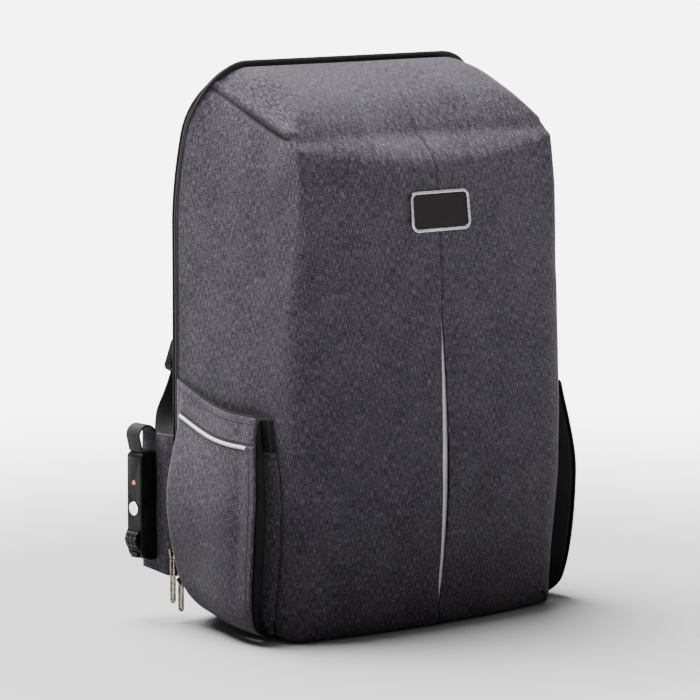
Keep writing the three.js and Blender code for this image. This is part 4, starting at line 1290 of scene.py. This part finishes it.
def stuffed(made, cap, size):
    """Swells a closed mesh as air would. cap is how far a point may move, size a cell's side."""
    scene = bpy.context.scene
    remesh = made.modifiers.new("even_cells", "REMESH")
    remesh.mode = "VOXEL"
    remesh.voxel_size = size * MM
    graph = bpy.context.evaluated_depsgraph_get()
    data = bpy.data.meshes.new_from_object(made.evaluated_get(graph))
    made.modifiers.clear()
    materials = list(made.data.materials)
    made.data = data
    data.materials.clear()
    for material in materials:
        data.materials.append(material)
    start = [vert.co.copy() for vert in data.vertices]
    cloth = made.modifiers.new("cloth", "CLOTH")
    cloth.settings.use_pressure = True
    cloth.settings.uniform_pressure_force = 4
    cloth.settings.effector_weights.gravity = 0
    cloth.settings.quality = 5
    cloth.settings.tension_stiffness = 30
    cloth.settings.compression_stiffness = 30
    cloth.settings.bending_stiffness = 1.5
    for step in range(1, 21):
        scene.frame_set(step)
    graph = bpy.context.evaluated_depsgraph_get()
    swollen = bpy.data.meshes.new_from_object(made.evaluated_get(graph))
    made.modifiers.clear()
    for vert, before, after in zip(data.vertices, start, swollen.vertices):
        move = after.co - before
        vert.co = before + move * min(1.0, cap * MM / max(move.length, 1e-9))
    scene.frame_set(1)
    bpy.data.meshes.remove(swollen)


def swollen_uv(made):
    """Cloth map of a swollen piece, in millimetres, as seen from behind."""
    layer = made.data.uv_layers.get("cloth") or made.data.uv_layers.new(name="cloth")
    for loop in made.data.loops:
        p = made.data.vertices[loop.vertex_index].co / MM
        layer.data[loop.index].uv = (p.x, p.z)


def back_pads():
    """Raised pads, swollen by a cloth simulation, with sewn channels pressed in afterwards."""
    for name, x, z, half_width, half_height, corner in zip(*BACK_PADS.values()):
        for side, sign in (("left", -1), ("right", 1)):
            rings = []
            for inset, lift in zip(*PAD_PROFILE.values()):
                limit = min(inset, corner)
                shrink = 1 - max(0, inset - corner) / half_width
                ring = []
                for dx, dz in rounded_rectangle(
                    half_width - limit, half_height - limit, corner - limit * 0.8, 6
                ):
                    px, pz = x + dx * shrink, z + dz * shrink
                    ring.append(Vector((sign * px, PANEL_FACE - rim_lean(pz) + lift, pz)))
                rings.append(ring)
            mesh = bmesh.new()
            loft(mesh, rings, closed=True)
            close_ends(mesh)
            made = place_piece(f"back_pad_{name}_{side}", mesh, MESH)
            stuffed(made, cap=2.2, size=3.5)
            press_channels(made, z, half_height)
            swollen_uv(made)


def press_channels(made, z, half_height):
    """Sewn lines across a pad."""
    for vert in made.data.vertices:
        p = vert.co / MM
        channel = (p.z - z) / half_height * CHANNEL_ROWS
        near = abs(channel - round(channel)) * half_height / CHANNEL_ROWS
        inside = abs(p.z - z) < half_height * 0.9
        above = smooth((p.y + rim_lean(p.z) - PANEL_FACE - 0.6) / 1.5)
        if inside:
            vert.co.y -= CHANNEL_DEPTH * MM * bump(near, CHANNEL_WIDTH) * above


# Straps and webbing


def strap_at(t):
    """The left shoulder strap's middle line."""
    z = mix(STRAP_TOP_Z, STRAP_END_Z, t)
    seat = PANEL_BACK - rim_lean(z) + GAP + STRAP_THICKNESS / 2
    away = STRAP_STANDOFF * math.sin(math.pi * t**0.8) ** 1.3
    across = mix(STRAP_TOP_X, STRAP_END_X, t**2.2)
    return Vector((-across, seat + away + STRAP_LEAN * t, z))


WEBBING_X = WING_INNER_X - 2 * GAP - WEBBING_THICKNESS / 2
WEBBING_Y = WING_END_Y - WEBBING_WIDTH / 2 - WEBBING_IN
SEWN_AT = Vector((-WEBBING_X, WEBBING_Y, WING_TOP - 8))


def strap_frame(t):
    """Directions along, across and through the strap."""
    if t >= 1:
        along = SEWN_AT - strap_at(1)
    else:
        along = strap_at(min(1, t + 0.02)) - strap_at(max(0, t - 0.02))
    along.normalize()
    across = Vector((0, 1, 0)).cross(along).normalized()
    return along, across, along.cross(across)


def strap_width(t):
    return mix(STRAP_TOP_WIDTH, STRAP_END_WIDTH, t**0.8)


def strap_line(beside, above):
    """A line along the strap: beside is a share of its half width, above a distance out."""
    line = []
    for t in spread(0, 1, 61):
        _, across, through = strap_frame(min(t, 0.999))
        line.append(strap_at(t) + across * beside * strap_width(t) / 2 + through * above)
    return line


def shoulder_strap():
    """A padded strap with bound edges, two lines of stitching a face and loops of webbing on it."""
    stations = []
    for t in spread(0, 1, 41):
        _, across, through = strap_frame(min(t, 0.999))
        ends = smooth(t / 0.04) * smooth((1 - t) / 0.03)
        thickness = (STRAP_THICKNESS - 3.2) * mix(0.5, 1, ends)
        stations.append((strap_at(t), across, through, strap_width(t) - 1.6, thickness))
    mesh = ribbon(stations, corner=3.4, corner_steps=4)

    def finish_strap(made):
        stuffed(made, cap=1.5, size=3.6)
        swollen_uv(made)

    pair("strap_pad", mesh, MESH, ["shoulder_strap"], after=finish_strap)
    binding = bmesh.new()
    for beside in (-1, 1):
        tube(binding, strap_line(beside * 0.965, 0), 1.5, 8)
        close_ends(binding)
    pair("strap_binding", binding, BLACK_CLOTH)
    seams = bmesh.new()
    for beside in (-0.8, 0.8):
        stitch(seams, strap_line(beside, -STRAP_THICKNESS / 2 + 0.6))
        stitch(seams, strap_line(beside, STRAP_THICKNESS / 2 - 0.6))
    pair("strap_stitching", seams, GREY_THREAD)
    centre = []
    for i in range(21):
        t = mix(0.05, 0.62, i / 20)
        _, across, through = strap_frame(t)
        lift = STRAP_THICKNESS / 2 + 0.1 + 1.2 * abs(math.sin(4 * math.pi * i / 20))
        outwards = 1 if through.y > 0 else -1
        centre.append((strap_at(t) + through * outwards * lift, across, through, 20, 1.4))
    pair("strap_daisy_webbing", ribbon(centre), WEBBING)


def below_strap(distance):
    return strap_at(1) + strap_frame(1)[0] * distance


def strap_webbing():
    """Webbing from the buckle's lower bar down to the wing, with its stitched end."""
    start = below_strap(BUCKLE_HEIGHT + 2 * GAP)
    first_along, first_across, _ = strap_frame(1)
    stations = []
    thickness = WEBBING_THICKNESS - 0.2
    rearward = Vector((0, 1, 0))
    for t in spread(0, 1, 25):
        across = first_across.lerp(rearward, smooth(t**1.4)).normalized()
        at = start.lerp(SEWN_AT, t)
        stations.append((at, across, across.cross(first_along), WEBBING_WIDTH, thickness))
    for z in (WING_TOP - 9.5, WING_TOP - 12, WING_TOP - WEBBING_SEAM):
        at = Vector((SEWN_AT.x, SEWN_AT.y, z))
        stations.append((at, rearward, Vector((-1, 0, 0)), WEBBING_WIDTH, thickness))
    pair("sewn_webbing", ribbon(stations), WEBBING, ["strap_webbing"])
    seam = bmesh.new()
    x = -(WEBBING_X - WEBBING_THICKNESS / 2)
    centre = Vector((x + 0.1, WEBBING_Y, WING_TOP - WEBBING_SEAM + 12))
    box_stitch(seam, centre, Vector((0, 8, 0)), Vector((0, 0, 9)))
    pair("webbing_stitching", seam, GREY_THREAD)


def box_stitch(mesh, centre, half_across, half_up):
    """A square of stitches with its two diagonals."""
    corners = [
        centre + half_across * a + half_up * b for a, b in ((-1, -1), (1, -1), (1, 1), (-1, 1))
    ]
    for a, b in ((0, 1), (1, 2), (2, 3), (3, 0), (0, 2), (1, 3)):
        stitch(mesh, [corners[a], corners[b]], BOX_STITCH)


def haul_handle():
    """A bowed webbing handle, narrower in the grip, with box stitches at its ends."""
    half = HANDLE_WIDTH / 2
    slope = (rim_lean(HANDLE_Z + half) - rim_lean(HANDLE_Z - half)) / HANDLE_WIDTH
    across = Vector((0, -slope, 1)).normalized()
    facing = Vector((0, 1, slope)).normalized()
    seat = Vector((0, PANEL_BACK - rim_lean(HANDLE_Z), HANDLE_Z))
    ends, ramp = 0.13, 0.22
    stations = []
    for t in spread(0, 1, 61):
        bow = HANDLE_BOW * smooth((t - ends) / ramp) * smooth((1 - ends - t) / ramp)
        at = seat + facing * (3 * GAP + HANDLE_THICKNESS / 2 + bow)
        at.x = mix(-HANDLE_SPAN / 2, HANDLE_SPAN / 2, t)
        narrow = smooth((t - 0.25) / 0.15) * smooth((0.75 - t) / 0.15)
        stations.append((at, across, facing, HANDLE_WIDTH - 3 * narrow, HANDLE_THICKNESS + 1.2 * narrow))
    place_piece("handle_webbing", ribbon(stations, corner=1.2), WEBBING, ["haul_handle"])
    seam = bmesh.new()
    for side in (-1, 1):
        centre = seat + facing * (3 * GAP + HANDLE_THICKNESS + 0.1)
        centre.x = side * (HANDLE_SPAN / 2 - 8)
        box_stitch(seam, centre, Vector((5.5, 0, 0)), across * 7)
    place_piece("handle_stitching", seam, GREY_THREAD)


# Wings and pockets


def side_start_y(z):
    return front_y(FRONT_HALF_WIDTH - edge_inset(z), z) + edge_depth(z)


def side_x(y, z):
    """Half width of the shell's outer face at a place on its side."""
    start = side_start_y(z)
    s = Section(clamp((RIM_Y - y) / (RIM_Y - start)))
    width = s.width - s.lean * near_crown(z)
    low = clamp((s.bottom + s.corner - z) / s.corner)
    ahead = clamp((start - y) / edge_depth(z))
    return (
        width - s.corner * (1 - math.sqrt(1 - low**2)) - edge_inset(z) * (1 - math.sqrt(1 - ahead**2))
    )


def wing():
    """A flap of cloth that runs from the back edge to the rear, hemmed and topstitched."""
    mesh = bmesh.new()
    rows = []
    for up in spread(0, 1, 41):
        row = []
        for t in spread(0, 1, 25):
            z = mix(WING_BOTTOM + WING_SLOPE * t, WING_TOP, up)
            root = min(WING_OUTER_X, side_x(RIM_Y, z))
            x = mix(root, WING_OUTER_X, smooth(t / 0.2))
            wave = 0.8 * slack(Vector((0, t * 40, z)), 30, 7.7) * smooth(t * 3) * smooth((1 - t) * 4)
            row.append(Vector((-(x - 0.3 + wave), mix(WING_ROOT_Y, WING_END_Y, t), z)))
        rows.append(row)
    loft(mesh, rows)

    def finish_wing(made):
        thicken(made, WING_THICKNESS - 0.5)
        soften_edges(made, 0.5, 2, 50)

    pair("wing_cloth", mesh, HEATHER, ["wing"], after=finish_wing, outward=False)
    seam = bmesh.new()
    x = -(WING_OUTER_X + 0.05)
    corners = [(WING_ROOT_Y + 9, WING_TOP - 4), (WING_END_Y - 4, WING_TOP - 4)]
    corners += [(WING_END_Y - 4, WING_BOTTOM + WING_SLOPE + 4), (WING_ROOT_Y + 9, WING_BOTTOM + 5)]
    path = [Vector((x, y, z)) for y, z in corners]
    for a, b in zip(path, path[1:]):
        stitch(seam, [a, b])
    pair("wing_stitching", seam, THREAD)


def drawn_back(z):
    """How far the elastic draws the pocket's front edge back at a height."""
    share = (z / POCKET_TOP_FRONT - ELASTIC_PULL_START) / (1 - ELASTIC_PULL_START)
    return ELASTIC_PULL * smooth(share)


def pocket_front_y(z):
    return side_start_y(z) + drawn_back(z)


def pocket_top(along):
    return mix(POCKET_TOP_REAR, POCKET_TOP_FRONT, along) - POCKET_TOP_DIP * math.sin(math.pi * along)


def pocket_bottom(along):
    return POCKET_BOTTOM + 14 * (1 - along) ** 2


def seam_line(along):
    return pocket_top(along) - POCKET_BAND_HEIGHT


def stand_off(along, z):
    """How far the pocket's inner face stands off the shell."""
    height = z / pocket_top(along)
    rear = POCKET_REAR_BULGE * read(POCKET_SWELL, height, "rear")
    front = POCKET_BULGE * read(POCKET_SWELL, height, "front")
    return GAP + mix(1, mix(rear, front, smooth(along)), smooth(along / 0.12))


def pocket_point(along, z, out):
    y = mix(POCKET_REAR_Y, pocket_front_y(z), along)
    return Vector((-(side_x(y, z) + stand_off(along, z) + out), y, z))


def pocket_folds(along, z):
    """Soft folds of the pocket's cloth, small beside its bulge."""
    height = z / POCKET_TOP_REAR
    middle = smooth(along / 0.15) * smooth((1.02 - along) / 0.08) * smooth(height / 0.15)
    wave = 1.3 * slack(Vector((0, along * 110, z)), 38, 2.2)
    crease = -1.0 * bump(along - 0.86, 0.05) * smooth((height - 0.1) / 0.3)
    draw = 0.9 * math.sin(9 * along + 5 * height) * bump(height - 0.12, 0.1)
    return (wave + crease + draw) * middle


def pocket_cloth(low_at, high_at, rows_up, hem_top=False):
    """A stretch of the left pocket's cloth between two lines of height."""
    rows = []
    rolled = table("along out", (0.995, 0.0), (1.0, -0.5), (1.003, -1.3), (1.0, -2.0))
    for up in spread(0, 1, rows_up + 1):
        row = []
        for along in spread(0, 0.985, 57):
            z = mix(low_at(along), high_at(along), up)
            row.append(pocket_face(along, z, 0))
        for along, out in zip(*rolled.values()):
            z = mix(low_at(1), high_at(1), up)
            row.append(pocket_point(along, z, POCKET_WALL + out))
        rows.append(row)
    if hem_top:
        top = rows[-1]
        rows.append([p + Vector((0.5, 0, 0.45)) for p in top])
        rows.append([p + Vector((1.3, 0, 0.3)) for p in top])
    mesh = bmesh.new()
    loft(mesh, rows)
    return mesh


def pocket_face(along, z, out=0.12):
    """A point just off the pocket's folded outer face."""
    return pocket_point(along, z, POCKET_WALL + pocket_folds(along, z) + out)


def pocket_wall(made):
    thicken(made, POCKET_CLOTH, lining=BLACK_CLOTH, even=False)


def pocket_piping():
    """The reflective strip under the band, a little rounded."""
    profile = table("up out", (0.0, 0.1), (0.2, 0.9), (0.5, 1.25), (0.8, 0.9), (1.0, 0.1))
    rows = []
    for up, out in zip(*profile.values()):
        row = []
        for along in spread(0.1, 0.93, 57):
            z = seam_line(along) - 1 - STRIP_HEIGHT * (1 - up)
            row.append(pocket_face(along, z, out))
        rows.append(row)
    mesh = bmesh.new()
    loft(mesh, rows)

    def finish_piping(made):
        thicken(made, PIPING_THICKNESS)

    pair(
        "pocket_piping",
        mesh,
        PIPING,
        ["pocket_reflective_strip"],
        after=finish_piping,
        outward=False,
    )


def pocket_seams():
    """Stitching along the band's two edges and up the pocket's front edge."""
    mesh = bmesh.new()
    shares = spread(0.03, 0.97, 60)
    stitch(mesh, [pocket_face(along, seam_line(along) + 2) for along in shares])
    stitch(mesh, [pocket_face(along, pocket_top(along) - 4.5) for along in shares])
    stitch(mesh, [pocket_face(0.95, z) for z in spread(14, seam_line(1) - 3, 60)])
    pair("pocket_stitching", mesh, THREAD)


def pocket():
    """The bulging panel, the band along its mouth with the piping under it, a black tube along the mouth
    for the lining's edge and painted shadow, and their stitching.
    """
    panel = pocket_cloth(pocket_bottom, seam_line, 66)
    pair("pocket_cloth", panel, HEATHER, ["pocket_panel"], after=pocket_wall, outward=False)
    band = pocket_cloth(lambda along: seam_line(along) + GAP, pocket_top, 10, hem_top=True)
    pair("pocket_mouth", band, HEATHER, ["pocket_band"], after=pocket_wall, outward=False)
    pocket_piping()
    # A black tube along the mouth: partly the black lining's edge, partly painted shadow in the gap
    # behind the band
    mouth = [pocket_point(along, pocket_top(along) + 0.7, 0.2) for along in spread(0.02, 0.985, 57)]
    binding = bmesh.new()
    tube(binding, mouth, 1.0, 6)
    close_ends(binding)
    pair("pocket_lining_edge_and_shadow", binding, BLACK_CLOTH)
    pocket_seams()


def gusset_line(z):
    """The gusset's folded line seen from above: its seam on the bag, its fold, the pocket's edge."""
    bulge = stand_off(1, z)
    seam_y = side_start_y(z) - SEAM_AHEAD + drawn_back(z)
    fold_y = seam_y + min(GUSSET_FOLD, 3 + bulge)
    clear = GAP + GUSSET_THICKNESS + mix(1.6, 0.3, smooth(z / (6 * POCKET_BOTTOM)))
    edge = pocket_point(1, z, -GUSSET_THICKNESS - 2 * GAP) + Vector((0, 1, 0))
    seam = Vector((-(side_x(seam_y, z) + clear), seam_y, z))
    fold = Vector((-(side_x(fold_y, z) + clear + 0.1 * bulge), fold_y, z))
    return seam, fold, edge


def gusset_cloth(first, low, high, rows_up, bow):
    """A half of the gusset from a line of points to its fold; bow curves it between them."""
    rows = []
    for z in spread(low, high, rows_up + 1):
        line = dict(zip(("seam", "fold", "edge"), gusset_line(z)))
        a, b = line[first], line["fold"]
        out = (b - a).cross(Vector((0, 0, 1))).normalized()
        row = []
        for t in spread(0, 0.94, 9):
            wave = 0.5 * slack(Vector((t * 12, 0, z)), 24, 4.4)
            row.append(a.lerp(b, t) + out * (bow + wave) * math.sin(math.pi * t))
        rows.append(row)
    mesh = bmesh.new()
    loft(mesh, rows)
    return mesh


def gusset():
    """Cloth below and elastic above, each in two halves that meet at the fold."""
    below = ELASTIC_BOTTOM - GAP

    def finish_gusset(made):
        thicken(made, GUSSET_THICKNESS * 0.7, offset=0)

    parts = table(
        "name first low high rows bow finish node",
        ("gusset_heather", "seam", GUSSET_BOTTOM, below, 50, -0.6, HEATHER, "gusset_front"),
        ("gusset_black", "edge", GUSSET_BOTTOM, below, 50, 0.6, BLACK_CLOTH, "gusset_fold"),
        ("elastic_front", "seam", ELASTIC_BOTTOM, ELASTIC_TOP, 14, -0.6, ELASTIC, "pocket_elastic_front"),
        ("elastic_fold", "edge", ELASTIC_BOTTOM, ELASTIC_TOP, 14, 0.6, ELASTIC, "pocket_elastic_fold"),
    )
    for name, first, low, high, rows, bow, finish, node in zip(*parts.values()):
        mesh = gusset_cloth(first, low, high, rows, bow)
        pair(name, mesh, finish, [node], after=finish_gusset, outward=False)
    seams = bmesh.new()
    line = []
    for z in spread(ELASTIC_BOTTOM + 1, ELASTIC_TOP - 1, 20):
        seam, fold, _ = gusset_line(z)
        line.append(seam.lerp(fold, 0.3) + Vector((-1.0, -0.6, 0)))
    stitch(seams, line, ELASTIC_STITCH)
    pair("elastic_stitching", seams, GREY_THREAD)


# Lock, plaque and zip pulls


def lock_loop():
    """A loop of webbing from the lock's top over to the wing, where it is sewn on."""
    out_x = -(WING_OUTER_X + GAP) - LOCK_THICKNESS + LOOP_THICKNESS / 2 + 1.5
    in_x = -(WING_OUTER_X + GAP) - LOOP_THICKNESS / 2
    middle = (out_x - LOOP_BULGE + in_x) / 2
    reach = (in_x - out_x + LOOP_BULGE) / 2
    y = WING_END_Y - LOCK_WIDTH / 2
    route = [(Vector((out_x, y, LOCK_TOP + GAP)), Vector((-1, 0, 0)))]
    for a in spread(math.pi, 0, 33):
        facing = Vector((math.cos(a), 0, math.sin(a)))
        route.append((Vector((middle, y, WING_TOP - 2)) + facing * reach, facing))
    route.append((Vector((in_x, y, WING_TOP - LOOP_SEAM)), Vector((1, 0, 0))))
    across = Vector((0, 1, 0))
    stations = [(at, across, facing, LOOP_WIDTH, LOOP_THICKNESS) for at, facing in route]
    place_piece("lock_loop_webbing", ribbon(stations, corner=0.7), WEBBING, ["lock_loop"])
    seam = bmesh.new()
    x = in_x - LOOP_THICKNESS / 2 - 0.05
    for z in (WING_TOP - 2, WING_TOP - 4.5):
        stitch(seam, [Vector((x, y - 7, z)), Vector((x, y + 7, z))], LOOP_STITCH)
    place_piece("lock_loop_stitching", seam, GREY_THREAD)


PULL_WIRE = 1.15


def zip_pulls():
    """Round wire loops in the sliders' eyes."""
    for name in ("1", "2"):
        low, high = (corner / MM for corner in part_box(f"zip_pull_{name}"))
        centre = (low + high) / 2
        radius = (high.y - low.y) / 2 - PULL_WIRE
        straight = (high.z - low.z) / 2 - PULL_WIRE - radius
        path = []
        for start, rise in ((0, straight), (math.pi, -straight)):
            for a in spread(start, start + math.pi, 13):
                path.append(centre + Vector((0, radius * math.cos(a), rise + radius * math.sin(a))))
        mesh = bmesh.new()
        tube(mesh, path, PULL_WIRE, 10, closed=True)
        place_piece(f"pull_wire_{name}", mesh, NICKEL, [f"zip_pull_{name}"])


def hard_pieces():
    """Hard CAD pieces with rounded edges."""
    cad_copy("plaque_frame", CHROME, 0.5, 3)
    cad_copy("plaque_insert", GLOSS_BLACK, 0.3)
    cad_copy("lock_body", LOCK_PLASTIC, 0.5, 3)
    cad_copy("lock_cylinder", CHROME, 0.3)
    cad_copy("lock_release", DIAL_PLASTIC, 0.25, body="release")
    cad_copy("lock_dot", ORANGE, 0.2)
    for i in (1, 2, 3):
        cad_copy(f"lock_dial_{i}", DIAL_PLASTIC, 0.15, body=f"dial_{i}")
    for i in (1, 2):
        cad_copy(f"zip_slider_{i}", NICKEL, 0.45, 3)
    for side in ("left", "right"):
        cad_copy(f"ladder_buckle_{side}", LOCK_PLASTIC, 0.7, 3)


# Stage


def add_camera():
    azimuth, elevation = math.radians(CAMERA_AZIMUTH), math.radians(CAMERA_ELEVATION)
    back = Vector(
        (
            math.sin(azimuth) * math.cos(elevation),
            -math.cos(azimuth) * math.cos(elevation),
            math.sin(elevation),
        )
    )
    data = bpy.data.cameras.new("camera")
    data.lens = CAMERA_LENS
    data.clip_end = 200
    camera = bpy.data.objects.new("camera", data)
    camera.location = CAMERA_AIM + back * CAMERA_DISTANCE
    camera.rotation_euler = (-back).to_track_quat("-Z", "Y").to_euler()
    bpy.context.scene.collection.objects.link(camera)
    bpy.context.scene.camera = camera


def add_light(name, direction, strength, angle):
    data = bpy.data.lights.new(name, "SUN")
    data.energy = strength
    data.angle = math.radians(angle)
    light = bpy.data.objects.new(name, data)
    light.rotation_euler = Vector(direction).to_track_quat("Z", "Y").to_euler()
    bpy.context.scene.collection.objects.link(light)


def add_stage():
    """A pale floor with painted shade that darkens it near the bag and fades away from it, under soft
    light from above and behind.
    """
    mesh = bmesh.new()
    bmesh.ops.create_circle(mesh, cap_ends=True, segments=64, radius=60)
    data = bpy.data.meshes.new("floor")
    mesh.to_mesh(data)
    mesh.free()
    floor = bpy.data.objects.new("floor", data)
    floor.location.z = -0.0005
    finish = Finish("floor", "floor", roughness=0.9)
    place = finish.node("ShaderNodeTexCoord", {}, {}, "Object")
    length = finish.node("ShaderNodeVectorMath", {"operation": "LENGTH"}, {0: place}, "Value")
    # Painted shade: the floor's colour is darkest near the bag and fades out further away
    beyond_painted_shade = length.rising(0.3, 1.3)
    finish.set("Base Color", finish.blend(beyond_painted_shade, FLOOR_NEAR_PAINTED_SHADE, FLOOR_FAR))
    data.materials.append(finish.data)
    bpy.context.scene.collection.objects.link(floor)
    world = bpy.data.worlds.new("soft_room")
    world.use_nodes = True
    background = world.node_tree.nodes["Background"]
    background.inputs["Color"].default_value = (0.97, 0.97, 1, 1)
    background.inputs["Strength"].default_value = WORLD_STRENGTH
    bpy.context.scene.world = world
    for name, direction, strength, angle in zip(*LIGHTS.values()):
        add_light(name, direction, strength, angle)


# Painted shade on the floor near the bag, and the floor's own pale colour further off
FLOOR_NEAR_PAINTED_SHADE = (0.23, 0.23, 0.23, 1)
FLOOR_FAR = (0.9, 0.9, 0.9, 1)
WORLD_STRENGTH = 0.28
LIGHTS = table(
    "name direction strength angle",
    ("top_softbox", (-0.08, 0.38, 1), 24.0, 44),
    ("right_fill", (0.6, 0.1, 0.9), 0.5, 50),
)

add_camera()
bag_shell()
front_strip()
zip_band()
zip_teeth()
back_panel()
back_pads()
shoulder_strap()
strap_webbing()
haul_handle()
wing()
pocket()
gusset()
lock_loop()
zip_pulls()
hard_pieces()
add_stage()
